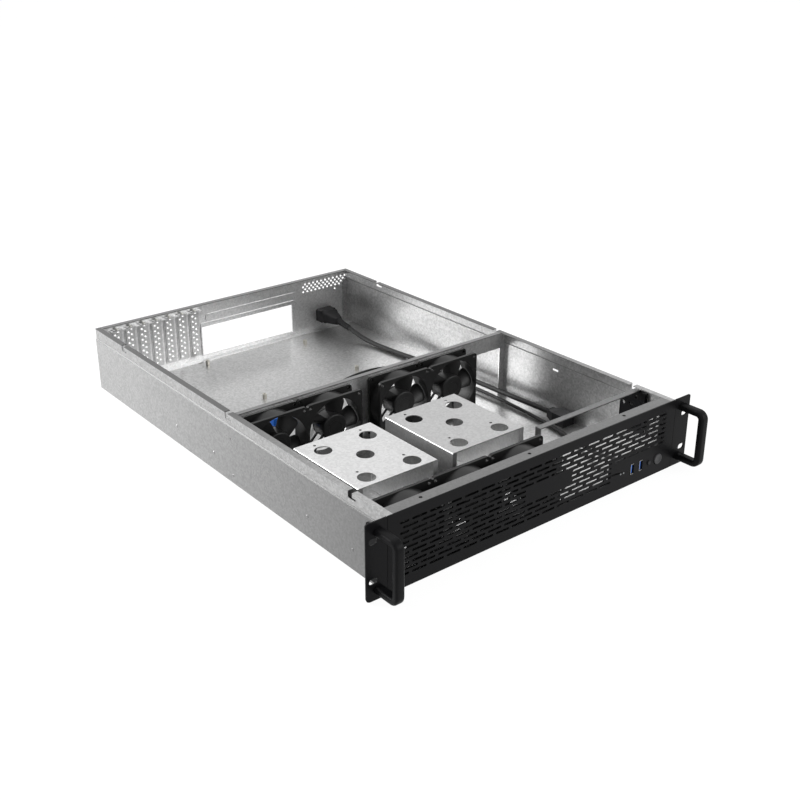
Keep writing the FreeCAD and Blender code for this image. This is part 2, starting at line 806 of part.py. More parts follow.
def handle(side, sign):
    """One bow handle: a bar bent into a U, with its edges eased, standing on its ear."""
    name = "handle_" + side
    body = new_body(name)
    low = S.handle_low
    top = low + S.handle_tall
    reach = -S.handle_reach
    bar = S.handle_bar
    middle = str(sign) + " * (Sizes.body_width / 2 + Sizes.handle_out)"
    bow = sketch(body, "bow_" + side, "YZ_Plane", middle + " - Sizes.handle_wide / 2")
    loop(bow, rounded([
        (0, low), (0, low + bar), (reach + bar, low + bar), (reach + bar, top - bar),
        (0, top - bar), (0, top), (reach, top), (reach, low),
    ], [0, 0, S.handle_bend - bar, S.handle_bend - bar, 0, 0, S.handle_bend, S.handle_bend]))
    pad(body, bow, "Sizes.handle_wide")
    doc.recompute()
    bar_solid = body.Tip
    rims = []
    for index, edge in enumerate(bar_solid.Shape.Edges, 1):
        flat = edge.BoundBox.XLength < 0.001
        at = edge.CenterOfMass
        outward = at.z < low + bar / 2 or at.z > top - bar / 2 or at.y < reach + bar / 2
        if flat and outward and edge.BoundBox.YMin < -0.001:
            rims.append("Edge" + str(index))
    eased = body.newObject("PartDesign::Chamfer", "bow_edges_" + side)
    eased.Base = (bar_solid, rims)
    eased.setExpression("Size", "Sizes.handle_edge")
    return node(body, name)


def handle_screws():
    """Screw heads behind the ears, two to a handle."""
    heads = []
    for sign in ("-", ""):
        for level in ("0", "Sizes.handle_tall - Sizes.handle_bar"):
            heads.append(prism(
                "handle_screw_" + str(len(heads) + 1), 6, "Sizes.screw_head_r", "Sizes.screw_head_high",
                sign + "(Sizes.body_width / 2 + Sizes.handle_out)", "Sizes.ear_thick",
                "Sizes.handle_low + Sizes.handle_bar / 2 + " + level, "Y"))
    return group("handle_screws", heads)


def front_frame():
    """Galvanised wall behind the panel, open for the fans, with its top flange forward."""
    body = new_body("front_frame")
    wall = sketch(body, "front_wall", "XZ_Plane", "Sizes.frame_y")
    loop(wall, bulkhead_outline())
    centres = front_fan_centres()
    for x in centres:
        polygon(wall, x, fan_middle(), S.fan_bore_r, 18)
    rectangle(wall, centres[-1] + S.fan_size / 2 + S.frame_open_in, S.sheet + S.frame_margin,
              in_from_right(S.frame_open_in), S.wall_height - S.frame_margin)
    pad(body, wall, "Sizes.sheet", backward=True)
    flange = sketch(body, "front_flange", "XY_Plane", "Sizes.wall_height - Sizes.sheet")
    rectangle(flange, -flange_end(), S.panel_thick, flange_end(), S.frame_y + S.sheet / 2)
    for k in range(-1, 2):
        polygon(flange, S.frame_hole_x + S.frame_hole_pitch * k, S.frame_hole_y, S.frame_hole_r, 10)
    pad(body, flange, "Sizes.sheet")
    return node(body, "front_frame")


def fan_wall():
    """Folded wall across the case, with four fan openings, a cable gap and its flanges."""
    body = new_body("fan_wall")
    centres = mid_fan_centres()
    gap_left = centres[-1] + S.fan_size / 2 + S.cable_gap_in
    web = sketch(body, "fan_web", "XZ_Plane", "Sizes.fan_wall_y")
    loop(web, bulkhead_outline(gap_left, in_from_right(S.cable_gap_wall), S.cable_gap_top))
    for x in centres:
        polygon(web, x, fan_middle(), S.fan_bore_r, 18)
    pad(body, web, "Sizes.sheet", backward=True)
    top = sketch(body, "fan_wall_flange", "XY_Plane", "Sizes.wall_height - Sizes.sheet")
    start = S.fan_wall_y + S.sheet / 2
    rectangle(top, -flange_end(), start, flange_end(), S.fan_wall_y + S.fan_wall_flange)
    pad(body, top, "Sizes.sheet")
    foot = sketch(body, "fan_wall_foot", "XY_Plane", "Sizes.sheet")
    rectangle(foot, -inner_width(), start, gap_left, S.fan_wall_y + S.fan_wall_foot)
    pad(body, foot, "Sizes.sheet")
    return node(body, "fan_wall")


def fan_middle():
    """Height of every fan's axis."""
    return S.fan_z + S.fan_size / 2


def front_fan_centres():
    return [in_from_left(S.front_fan_in) + S.fan_size * (k + 0.5) for k in range(3)]


def mid_fan_centres():
    """Axes of the two pairs of fans on the fan wall."""
    first = in_from_left(S.mid_fan_in)
    second = first + 2 * S.fan_size + S.mid_fan_pair_gap
    return [start + S.fan_size * (k + 0.5) for start in (first, second) for k in range(2)]


def fan_frame(name, x, front, open_end):
    """Fan housing: two square flanges on a round barrel, with struts to the motor base."""
    body = new_body(name)
    z = fan_middle()
    half = S.fan_size / 2
    for end, offset in (("front", "0"), ("rear", "Sizes.fan_deep - Sizes.fan_flange")):
        plate = sketch(body, name + "_" + end, "XZ_Plane", front + " + " + offset)
        cornered(plate, x - half, z - half, x + half, z + half, S.fan_corner)
        polygon(plate, x, z, S.fan_bore_r, 18)
        if end == open_end:
            for dx, dz in fan_corners():
                diamond(plate, x + dx, z + dz, S.fan_hole_r)
        pad(body, plate, "Sizes.fan_flange", backward=True)
        if end == "front":
            barrel = sketch(body, name + "_barrel", "XZ_Plane", front)
            polygon(barrel, x, z, S.fan_barrel_r, 12)
            polygon(barrel, x, z, S.fan_bore_r, 18)
            pad(body, barrel, "Sizes.fan_deep", backward=True)
    base = sketch(body, name + "_base", "XZ_Plane", front + " + Sizes.fan_deep - Sizes.fan_base_thick")
    loop(base, motor_base(x, z))
    pad(body, base, "Sizes.fan_base_thick", backward=True)
    return node(body, name)


def motor_base(x, z):
    """Outline of the motor base disc with its struts, which end inside the barrel."""
    points = []
    count = int(S.fan_struts)
    across = S.fan_strut / 2
    near = math.asin(across / S.fan_hub_r)
    reach = (S.fan_bore_r + S.fan_barrel_r) / 2
    for k in range(count):
        middle = 2 * math.pi * (k + 0.5) / count
        for radius, turn in ((S.fan_hub_r, -near), (reach, -math.asin(across / reach)),
                             (reach, math.asin(across / reach)), (S.fan_hub_r, near)):
            points.append((x + radius * math.cos(middle + turn), z + radius * math.sin(middle + turn)))
        for step in range(1, 3):
            turn = middle + near + (2 * math.pi / count - 2 * near) * step / 3
            points.append((x + S.fan_hub_r * math.cos(turn), z + S.fan_hub_r * math.sin(turn)))
    return points


def fan_corners():
    """Screw hole places of a fan from its axis."""
    pitch = S.fan_hole_pitch / 2
    return [(-pitch, -pitch), (pitch, -pitch), (pitch, pitch), (-pitch, pitch)]


def rotor(name, x, front):
    """Fan rotor: a hub cup with cambered, twisted blades, one solid."""
    hub = prism(name + "_hub", 14, "Sizes.fan_hub_r",
                "Sizes.fan_deep - Sizes.rotor_front - Sizes.fan_base_thick - Sizes.fan_gap",
                "0", "Sizes.rotor_front", "0", "Y")
    wings = []
    for k in range(int(S.blade_count)):
        wing = doc.addObject("Part::Feature", name + "_blade_" + str(k + 1))
        wing.Shape = blade(2 * math.pi * k / S.blade_count)
        wings.append(wing)
    made = doc.addObject("Part::MultiFuse", name)
    made.Shapes = [hub] + wings
    made.Refine = True
    node(made, name)
    made.setExpression("Placement.Base.x", str(x))
    made.setExpression("Placement.Base.y", FRONT_Y + " + " + front)
    made.setExpression("Placement.Base.z", "Sizes.fan_z + Sizes.fan_size / 2")
    return made


def blade(turn):
    """One blade round the Y axis: crescent sections at three radii joined by flat facets.

    A section at radius r is a chord c at stagger angle a to the axis, with its middle raised by
    the camber. A point u along the chord and v across it lies at
    y = middle + u cos a - v sin a and at the angle turn + (u sin a + v cos a + sweep) / r.
    """
    long = S.fan_deep - S.rotor_front - S.fan_base_thick - S.fan_gap
    middle = S.rotor_front + long / 2
    tip_r = S.fan_bore_r - S.blade_tip_gap
    rings = []
    for share in (0.0, 0.5, 1.0):
        r = S.blade_root_r + (tip_r - S.blade_root_r) * share
        half = (S.blade_root_chord + (S.blade_tip_chord - S.blade_root_chord) * share) / 2
        angle = math.radians(S.blade_root_angle + (S.blade_tip_angle - S.blade_root_angle) * share)
        ring = []
        for u, v in ((-half, 0.0), (0.0, S.blade_camber + S.blade_thick / 2), (half, 0.0),
                     (0.0, S.blade_camber - S.blade_thick / 2)):
            around = u * math.sin(angle) + v * math.cos(angle) + S.blade_sweep * share
            y = middle + u * math.cos(angle) - v * math.sin(angle)
            ring.append(FreeCAD.Vector(r * math.cos(turn + around / r), y, r * math.sin(turn + around / r)))
        rings.append(ring)
    facets = [(rings[0][0], rings[0][1], rings[0][3]), (rings[0][1], rings[0][2], rings[0][3]),
              (rings[2][0], rings[2][1], rings[2][3]), (rings[2][1], rings[2][2], rings[2][3])]
    for inner, outer in zip(rings, rings[1:]):
        for i in range(4):
            j = (i + 1) % 4
            facets += [(inner[i], inner[j], outer[j]), (inner[i], outer[j], outer[i])]
    faces = [Part.Face(Part.makePolygon([a, b, c, a])) for a, b, c in facets]
    solid = Part.Solid(Part.Shell(faces))
    if solid.Volume < 0:
        solid.reverse()
    return solid


def fan_screws():
    """Screw heads on the walls that carry the fans, two to a fan, at opposite corners."""
    heads = []
    z = fan_middle()
    rows = [(centre, "Sizes.frame_y - Sizes.screw_head_high") for centre in front_fan_centres()]
    rows += [(centre, "Sizes.fan_wall_y + Sizes.sheet") for centre in mid_fan_centres()]
    for centre, face in rows:
        for dx, dz in fan_corners()[1::2]:
            heads.append(prism(
                "fan_screw_" + str(len(heads) + 1), 6, "Sizes.screw_head_r - 0.6",
                "Sizes.screw_head_high", str(centre + dx), face, str(z + dz), "Y"))
    return group("fan_screws", heads)


def cage_middles():
    """X of the two drive cages' middles."""
    first = in_from_left(S.cage_in)
    return [first, first + S.cage_pitch]


def drive_cage(side, middle):
    """Drive cage: a sheet folded into an upside-down U with feet and front lips."""
    name = "drive_cage_" + side
    body = new_body(name)
    half = S.cage_width / 2
    floor = S.sheet
    right = [
        (middle + half + S.cage_foot, floor + S.sheet),
        (middle + half, floor + S.sheet),
        (middle + half, S.cage_top),
    ]
    left = [(2 * middle - x, z) for x, z in right[::-1]]
    section = sketch(body, "cage_section_" + side, "XZ_Plane", "Sizes.cage_front")
    loop(section, *folded(right + left, S.sheet))
    pad(body, section, "Sizes.cage_deep", backward=True)
    lips = sketch(body, "cage_lips_" + side, "XZ_Plane", "Sizes.cage_front")
    for sign in (-1, 1):
        outer = middle + sign * (half - S.sheet / 2)
        inner = middle + sign * (half - S.cage_lip)
        rectangle(lips, min(outer, inner), floor + S.sheet, max(outer, inner), S.cage_top - S.sheet / 2)
    pad(body, lips, "Sizes.sheet", backward=True)
    holes = sketch(body, "cage_holes_" + side, "XY_Plane", "Sizes.cage_top")
    rear = S.cage_front + S.cage_deep - S.cage_hole_rear
    for k in range(2):
        y = rear - S.cage_hole_dy * k
        for sign in (-0.5, 0.5):
            polygon(holes, middle + sign * S.cage_hole_dx, y, S.cage_hole_r, 6)
            polygon(holes, middle + sign * S.cage_window_dx, y - S.cage_window_step, S.cage_window_r, 14)
    polygon(holes, middle, S.cage_front + S.cage_window_in, S.cage_window_r, 14)
    cut_deep(body, holes, "Sizes.sheet * 2")
    return node(body, name)


def cage_screws():
    """Screw heads on the cages' feet."""
    heads = []
    across = (S.cage_width + S.cage_foot + S.sheet) / 2
    for middle in cage_middles():
        for x in (middle - across, middle + across):
            for share in ("0.2", "0.8"):
                heads.append(prism(
                    "cage_screw_" + str(len(heads) + 1), 6, "Sizes.screw_head_r - 0.4",
                    "Sizes.screw_head_high", str(x),
                    "Sizes.cage_front + Sizes.cage_deep * " + share, "2 * Sizes.sheet"))
    return group("cage_screws", heads)


def psu_hold_down_bar():
    """Strap over the power supply bay, folded down to a leg and to a tab on the side wall."""
    body = new_body("psu_hold_down_bar")
    section = sketch(body, "bar_section", "XZ_Plane", "Sizes.bar_y")
    right = inner_width()
    leg = in_from_right(S.bar_long)
    path = [(right, S.bar_top - S.bar_tab), (right, S.bar_top), (leg, S.bar_top), (leg, S.sheet)]
    loop(section, *folded(path, S.bar_thick))
    pad(body, section, "Sizes.bar_deep", backward=True)
    return node(body, "psu_hold_down_bar")


def psu_bar_bracket():
    """Black bracket beside the wall, under the strap, with a slanted edge and three holes."""
    body = new_body("psu_bar_bracket")
    front = S.bracket_front
    rear = front + S.bracket_deep
    x = in_from_right(S.bracket_out)
    path = [(x, rear), (x, front), (inner_width(), front)]
    section = sketch(body, "bracket_section", "XY_Plane", "Sizes.bracket_low")
    loop(section, *folded(path, S.bracket_thick))
    top = S.bar_top - S.bar_thick
    pad(body, section, "Sizes.bar_top - Sizes.bar_thick - Sizes.bracket_low")
    cuts = sketch(body, "bracket_cuts", "YZ_Plane", "0")
    loop(cuts, [(rear - S.bracket_slant, top + 1), (rear + 1, top + 1), (rear + 1, top - S.bracket_slant)])
    for inward, down in ((S.bracket_hole_1_in, S.bracket_hole_1_down),
                         (S.bracket_hole_2_in, S.bracket_hole_2_down),
                         (S.bracket_hole_3_in, S.bracket_hole_3_down)):
        polygon(cuts, front + inward, S.bar_top - down, S.bracket_hole_r, 10)
    cut_through(body, cuts)
    return node(body, "psu_bar_bracket")


def usb_centres():
    return [in_from_right(S.usb_in), in_from_right(S.usb_in) + S.usb_pitch]


def front_io_module():
    """Moulded carrier behind the panel for the sockets, the buttons and the lights."""
    body = new_body("front_io_module")
    block = sketch(body, "io_block", "XZ_Plane", "Sizes.panel_thick")
    rectangle(block, in_from_right(S.io_left_in), S.io_low, in_from_right(S.io_right_in), S.io_high)
    for x in usb_centres():
        rectangle(block, x - S.usb_wide / 2, S.usb_z - S.usb_high / 2,
                  x + S.usb_wide / 2, S.usb_z + S.usb_high / 2)
    pad(body, block, "Sizes.io_deep", backward=True)
    bores = sketch(body, "io_bores", "XZ_Plane", "Sizes.panel_thick")
    button_bores(bores)
    cut_deep(body, bores, "Sizes.io_deep - 2")
    lights = sketch(body, "io_lights", "XZ_Plane", "Sizes.panel_thick")
    led_bores(lights)
    cut_deep(body, lights, "Sizes.led_long - Sizes.panel_thick")
    return node(body, "front_io_module")


def usb_shells():
    """Two upright socket shells, folded tubes."""
    shells = []
    for number, x in enumerate(usb_centres(), 1):
        body = new_body("usb_shell_body_" + str(number))
        ring = sketch(body, "usb_ring_" + str(number), "XZ_Plane", "0")
        w, t = S.usb_wide / 2, S.usb_wall
        low, top = S.usb_z - S.usb_high / 2, S.usb_z + S.usb_high / 2
        rectangle(ring, x - w, low, x + w, top)
        rectangle(ring, x - w + t, low + t, x + w - t, top - t)
        pad(body, ring, "Sizes.usb_deep", backward=True)
        back = sketch(body, "usb_back_" + str(number), "XZ_Plane", "Sizes.usb_deep - Sizes.usb_wall")
        rectangle(back, x - w + t / 2, low + t / 2, x + w - t / 2, top - t / 2)
        pad(body, back, "Sizes.usb_wall", backward=True)
        shells.append(body)
    return group("usb_shells", shells)


def usb_tongues():
    """Blue contact tongues inside the sockets."""
    pieces = []
    for number in range(2):
        pieces.append(box(
            "usb_tongue_" + str(number + 1), "Sizes.tongue_thick",
            "Sizes.usb_deep - Sizes.usb_wall - 1", "Sizes.tongue_high",
            right_place("usb_in") + " - Sizes.usb_wide / 2 + Sizes.usb_wall + 0.5 + Sizes.usb_pitch * "
            + str(number), "1", "Sizes.usb_z - Sizes.tongue_high / 2"))
    return group("usb_tongues", pieces)


def button(name, inward, radius, sides):
    """A round push button, proud of the panel and guided in the carrier."""
    made = prism(name, sides, "Sizes." + radius, "Sizes.button_long", right_place(inward),
                 "-Sizes.button_proud", "Sizes.button_z", "Y")
    node(made, name)
    made.setExpression("Placement.Base.y", FRONT_Y + " - Sizes.button_proud")
    return made


def led_lenses():
    """Two small lamp lenses, flush with the panel."""
    lenses = []
    for k in range(2):
        lenses.append(prism("led_" + str(k + 1), 8, "Sizes.led_r", "Sizes.led_long",
                            right_place("led_in") + " + Sizes.led_pitch * " + str(k), "0",
                            "Sizes.led_z", "Y"))
    return group("led_lenses", lenses)


def power_inlet():
    """Moulded inlet: bezel outside the rear wall, socket, and a body tapering to its neck."""
    body = new_body("power_inlet")
    x, z = in_from_right(S.inlet_in), S.inlet_z
    bezel = sketch(body, "inlet_bezel_face", "XZ_Plane", "Sizes.case_depth")
    w, v = S.inlet_bezel_wide / 2, S.inlet_bezel_high / 2
    cornered(bezel, x - w, z - v, x + w, z + v, S.inlet_corner)
    pad(body, bezel, "Sizes.inlet_bezel", backward=True)
    w, v = S.inlet_wide / 2 - S.seam / 2, S.inlet_high / 2 - S.seam / 2
    block = sketch(body, "inlet_body", "XZ_Plane", "Sizes.case_depth - Sizes.inlet_long / 2")
    rectangle(block, x - w, z - v, x + w, z + v)
    pad(body, block, "Sizes.inlet_long / 2 + Sizes.inlet_bezel / 2", backward=True)
    neck_x, neck_z, n = x + S.inlet_neck_dx, S.inlet_neck_z, S.inlet_neck / 2
    wedge(body, "inlet_taper",
          (S.case_depth - S.sheet - S.inlet_long, neck_x - n, neck_x + n, neck_z - n, neck_z + n),
          (S.case_depth - S.inlet_long / 2, x - w, x + w, z - v, z + v))
    socket = sketch(body, "inlet_socket", "XZ_Plane", "Sizes.case_depth + Sizes.inlet_bezel")
    w, v = S.inlet_socket_wide / 2, S.inlet_socket_high / 2
    cut = S.inlet_socket_high / 4
    loop(socket, [(x - w, z - v), (x + w, z - v), (x + w, z + v - cut), (x + w - cut, z + v),
                  (x - w + cut, z + v), (x - w, z + v - cut)])
    cut_deep(body, socket, "Sizes.inlet_socket_deep", backward=True)
    return node(body, "power_inlet")


def inlet_pins():
    """Three flat contact pins in the inlet."""
    pins = []
    for number, (dx, dz) in enumerate(((-1, "-1"), (0, "2"), (1, "-1")), 1):
        pins.append(box(
            "inlet_pin_" + str(number), "Sizes.inlet_pin_wide", "Sizes.inlet_pin_long",
            "Sizes.inlet_pin_high",
            right_place("inlet_in") + " - Sizes.inlet_pin_wide / 2 + Sizes.inlet_pin_dx * " + str(dx),
            "Sizes.case_depth + Sizes.inlet_bezel - Sizes.inlet_socket_deep",
            "Sizes.inlet_z - Sizes.inlet_pin_high / 2 + " + dz))
    return group("inlet_pins", pins)


def inlet_screws():
    """Screw heads at both ends of the inlet's bezel."""
    heads = []
    for sign in ("-", "+"):
        heads.append(prism(
            "inlet_screw_" + str(len(heads) + 1), 8, "Sizes.screw_head_r", "Sizes.screw_head_high / 2",
            right_place("inlet_in") + " " + sign + " Sizes.inlet_screw_dx",
            "Sizes.case_depth + Sizes.inlet_bezel", "Sizes.inlet_z", "Y"))
    return group("inlet_screws", heads)


def standoffs():
    """Hexagonal board standoffs on the floor, in the standard pattern.

    The four at the corners of the two middle rows have round tapped holes.
    """
    places = [(1, 0)]
    places += [(column, 1) for column in (0, 2)]
    places += [(column, row) for row in (2, 3) for column in (0, 1, 2)]
    columns = ("0", "Sizes.board_middle_dx", "Sizes.board_right_dx")
    rows = ("0", "Sizes.board_row_1", "Sizes.board_row_2", "Sizes.board_row_3")
    posts = []
    for column, row in places:
        number = str(len(posts) + 1)
        x = "-Sizes.body_width / 2 + Sizes.board_in + " + columns[column]
        y = "Sizes.case_depth - Sizes.board_rear_in - " + rows[row]
        post = prism("standoff_" + number, 6, "Sizes.standoff_r", "Sizes.standoff_high", x, y, "Sizes.sheet")
        if row > 1 and column != 1:
            bore = doc.addObject("Part::Cylinder", "standoff_bore_" + number)
            bore.setExpression("Radius", "Sizes.standoff_bore_r")
            bore.setExpression("Height", "Sizes.standoff_high")
            place(bore, x, y, "Sizes.sheet + 1")
        else:
            bore = prism("standoff_bore_" + number, 6, "Sizes.standoff_bore_r * 1.1",
                         "Sizes.standoff_high", x, y, "Sizes.sheet + 1")
        tapped = doc.addObject("Part::Cut", "standoff_tapped_" + number)
        tapped.Base = post
        tapped.Tool = bore
        posts.append(tapped)
    return group("standoffs", posts)


def side_rivets():
    """Rivet heads on the outside of both side walls."""
    heads = []
    for base in ("-Sizes.body_width / 2 - Sizes.rivet_high", "Sizes.body_width / 2"):
        for number in range(1, 6):
            size = "Sizes.rivet_" + str(number)
            heads.append(prism("side_rivet_" + str(len(heads) + 1), 8, "Sizes.rivet_r",
                               "Sizes.rivet_high", base, size + "_y", size + "_z", "X"))
    return group("side_rivets", heads)


def cord(name, points, radius):
    """A cord along straight runs joined by tangent arcs as large as the runs allow."""
    route = [FreeCAD.Vector(*point) for point in points]
    edges = []
    start = route[0]
    for i in range(1, len(route) - 1):
        before = route[i] - route[i - 1]
        after = route[i + 1] - route[i]
        shorter = min(before.Length, after.Length)
        turn = before.getAngle(after)
        bend = 0.45 * shorter / math.tan(turn / 2)
        cut = 0.45 * shorter
        a = route[i] - before.normalize() * cut
        b = route[i] + after.normalize() * cut
        inward = (a + b) * 0.5 - route[i]
        reach = bend / math.cos(turn / 2) - bend
        middle = route[i] + inward.normalize() * reach
        edges.append(Part.LineSegment(start, a).toShape())
        edges.append(Part.Arc(a, middle, b).toShape())
        start = b
        print(name, "bend", i, "radius", round(bend, 1), "turn", round(math.degrees(turn), 1),
              "run", round((route[i] - route[i - 1]).Length, 1))
    edges.append(Part.LineSegment(start, route[-1]).toShape())
    path = Part.Wire(edges)
    direction = (route[1] - route[0]).normalize()
    across = direction.cross(FreeCAD.Vector(1, 0, 0)).normalize()
    other = direction.cross(across)
    corners = []
    for k in range(7):
        angle = 2 * math.pi * k / 6
        corners.append(route[0] + (across * math.cos(angle) + other * math.sin(angle)) * radius)
    tube = path.makePipeShell([Part.makePolygon(corners)], True, False, 2)
    expected = 1.5 * math.sqrt(3) * radius ** 2 * path.Length
    print(name, "length", round(path.Length, 1), "volume share", round(tube.Volume / expected, 5))
    made = doc.addObject("Part::Feature", name)
    made.Shape = tube
    return node(made, name)


# Places along the two cords, X, Y and Z.
POWER_ROUTE = [
    (171.0, 611.0, 20.0), (171.5, 585.0, 16.0), (175.5, 545.0, 5.6), (181.0, 490.0, 4.7),
    (190.0, 425.0, 5.2), (197.0, 350.0, 7.0), (197.5, 265.0, 9.0), (201.0, 185.0, 9.6),
]
SIGNAL_ROUTE = [
    (153.0, 12.5, 18.0), (153.0, 34.0, 18.0), (159.0, 68.0, 8.5), (172.0, 112.0, 3.9),
    (182.0, 170.0, 3.7), (185.0, 235.0, 5.0), (183.5, 300.0, 6.4), (180.0, 362.0, 6.0),
    (166.0, 418.0, 5.0), (132.0, 452.0, 4.0), (84.0, 455.0, 3.7), (34.0, 439.0, 3.7),
    (-16.0, 395.0, 3.7), (-50.0, 363.0, 6.0), (-83.0, 337.0, 19.0), (-113.0, 324.5, 38.0),
]


def plugs():
    """Plug on the power cord's front end and the flat plug on the signal cord's rear end."""
    body = new_body("power_plug")
    x, y, z = POWER_ROUTE[-1]
    n = S.plug_neck / 2
    w = S.plug_wide / 2
    low = S.sheet + S.seam
    shoulder = y - S.plug_long * 0.4
    block = sketch(body, "plug_block", "XZ_Plane", str(shoulder))
    rectangle(block, x - w, low, x + w, low + S.plug_high)
    pad(body, block, "Sizes.plug_long * 0.6")
    wedge(body, "plug_taper", (shoulder, x - w, x + w, low, low + S.plug_high),
          (y, x - n, x + n, z - n, z + n))
    node(body, "power_plug")
    x, y, z = SIGNAL_ROUTE[-1]
    header = box("signal_plug", "Sizes.header_long", "Sizes.header_wide", "Sizes.header_high",
                 str(x) + " + 1 - Sizes.header_long", str(y), str(z) + " - Sizes.header_high / 2 + 2")
    node(header, "signal_plug")
    header.setExpression("Placement.Base.y", FRONT_Y + " + " + str(y) + " - Sizes.header_wide / 2")


def build():
    """Make every sub-part of the case."""
    chassis_tub()
    rear_panel()
    for number, x in enumerate(card_centres(), 1):
        slot_cover(number, x)
    slot_cover_screws()
    front_frame()
    front_panel()
    for side, sign in (("left", -1), ("right", 1)):
        ear(side, sign)
        handle(side, sign)
    handle_screws()
    fan_wall()
    for number, x in enumerate(mid_fan_centres(), 1):
        fan_frame("mid_fan_frame_" + str(number), x, "Sizes.fan_wall_y - Sizes.fan_deep", "front")
        rotor("mid_fan_rotor_" + str(number), x, "Sizes.fan_wall_y - Sizes.fan_deep")
    for number, x in enumerate(front_fan_centres(), 1):
        fan_frame("front_fan_frame_" + str(number), x, "Sizes.frame_y + Sizes.sheet", "rear")
        rotor("front_fan_rotor_" + str(number), x, "Sizes.frame_y + Sizes.sheet")
    fan_screws()
    for side, middle in zip(("left", "right"), cage_middles()):
        drive_cage(side, middle)
    cage_screws()
    psu_hold_down_bar()
    psu_bar_bracket()
    front_io_module()
    usb_shells()
    usb_tongues()
    button("power_button", "power_in", "power_r", 14)
    button("reset_button", "reset_in", "reset_r", 10)
    led_lenses()
    power_inlet()
    inlet_pins()
    inlet_screws()
    standoffs()
    side_rivets()
    cord("power_cord", POWER_ROUTE, S.power_cord_r)
    cord("signal_cord", SIGNAL_ROUTE, S.signal_cord_r)
    plugs()


def write():
    """Check every object and write one STEP file for each sub-part."""
    doc.recompute()
    for item in doc.Objects:
        if "Invalid" in item.State or "Error" in item.State:
            raise RuntimeError(item.Label + " failed to build")
    for item in NODES:
        if item.Shape.isNull() or not item.Shape.isValid():
            raise RuntimeError(item.Label + " has no valid shape")
    os.makedirs("parts", exist_ok=True)
    for item in NODES:
        item.Shape.exportStep("parts/" + item.Label + ".step")
    print(len(NODES), "sub-parts written")


build()
write()
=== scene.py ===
# %% [markdown]
# An open rack case for a server, folded from galvanised sheet. The solids come from the CAD model
# and never move here. This lesson gives them their finishes, swaps the pieces that need a smoother
# surface than the solids have, lays the two cords and sets the camera and the light.

# %% Load the frame
import json
import math

import bmesh
import bpy
import numpy as np
from mathutils import Matrix, Vector
from mathutils.geometry import tessellate_polygon


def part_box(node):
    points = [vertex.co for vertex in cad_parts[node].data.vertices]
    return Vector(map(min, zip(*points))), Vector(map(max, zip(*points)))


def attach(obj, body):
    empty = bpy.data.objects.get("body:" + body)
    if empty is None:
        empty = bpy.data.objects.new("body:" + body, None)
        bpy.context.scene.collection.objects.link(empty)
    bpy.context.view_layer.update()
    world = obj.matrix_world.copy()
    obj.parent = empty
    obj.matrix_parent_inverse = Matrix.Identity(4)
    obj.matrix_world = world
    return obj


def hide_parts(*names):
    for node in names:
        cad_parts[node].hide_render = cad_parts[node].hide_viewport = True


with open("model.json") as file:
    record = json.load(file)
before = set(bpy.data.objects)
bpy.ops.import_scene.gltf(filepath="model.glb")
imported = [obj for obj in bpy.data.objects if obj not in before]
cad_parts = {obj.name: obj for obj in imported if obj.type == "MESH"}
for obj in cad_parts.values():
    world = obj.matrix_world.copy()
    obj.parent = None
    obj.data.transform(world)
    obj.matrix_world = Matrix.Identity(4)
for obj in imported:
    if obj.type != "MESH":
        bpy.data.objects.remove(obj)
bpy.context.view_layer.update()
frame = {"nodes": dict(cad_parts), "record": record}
CASE = "case"
PANEL_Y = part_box("front_panel")[0][1]

# %% [markdown]
# The camera stands in front of the case's left ear and looks down into it. Its place, aim and lens
# were fitted to corners whose real places are known, such as the ears, the fan wall and the rear
# edge. The place is given in metres from the middle of the panel's lower edge, so that it stays
# right if the case's origin moves.

# %% Camera
CAMERA_PLACE = (-0.7870, -0.7272, 0.6300)
CAMERA_YAW = math.radians(37.40)
CAMERA_PITCH = math.radians(23.01)
CAMERA_ROLL = math.radians(-0.58)
CAMERA_LENS = 50.30
CAMERA_SHIFT = (0.0343, -0.0341)


def make_camera():
    """Camera aimed by yaw from +Y towards +X, pitch below level and roll about its own axis."""
    lens = bpy.data.cameras.new("camera")
    lens.lens = CAMERA_LENS
    lens.sensor_width = 36.0
    lens.shift_x, lens.shift_y = CAMERA_SHIFT
    camera = bpy.data.objects.new("camera", lens)
    x, y, z = CAMERA_PLACE
    camera.location = (x, PANEL_Y + y, z)
    turn = (Matrix.Rotation(-CAMERA_YAW, 3, "Z") @ Matrix.Rotation(math.pi / 2 - CAMERA_PITCH, 3, "X")
            @ Matrix.Rotation(CAMERA_ROLL, 3, "Z"))
    camera.rotation_euler = turn.to_euler("XYZ")
    bpy.context.collection.objects.link(camera)
    bpy.context.scene.camera = camera
    return camera


camera = make_camera()
print("camera at", [round(value, 3) for value in camera.location])

# %% [markdown]
# A finish is a small tree of shader nodes. Writing the maths of a pattern as links is slow to read,
# so a wrapped socket lets it be written as a Python expression, and one method adds any other node.

# %% Sockets as numbers
class Signal:
    """One output of a node, on which + - * add Math nodes to its tree."""

    def __init__(self, finish, socket):
        self.finish = finish
        self.socket = socket

    def maths(self, operation, first, second):
        return self.finish.node("ShaderNodeMath", {"operation": operation}, {0: first, 1: second})

    def __add__(self, other):
        return self.maths("ADD", self, other)

    def __radd__(self, other):
        return self.maths("ADD", other, self)

    def __sub__(self, other):
        return self.maths("SUBTRACT", self, other)

    def __mul__(self, other):
        return self.maths("MULTIPLY", self, other)


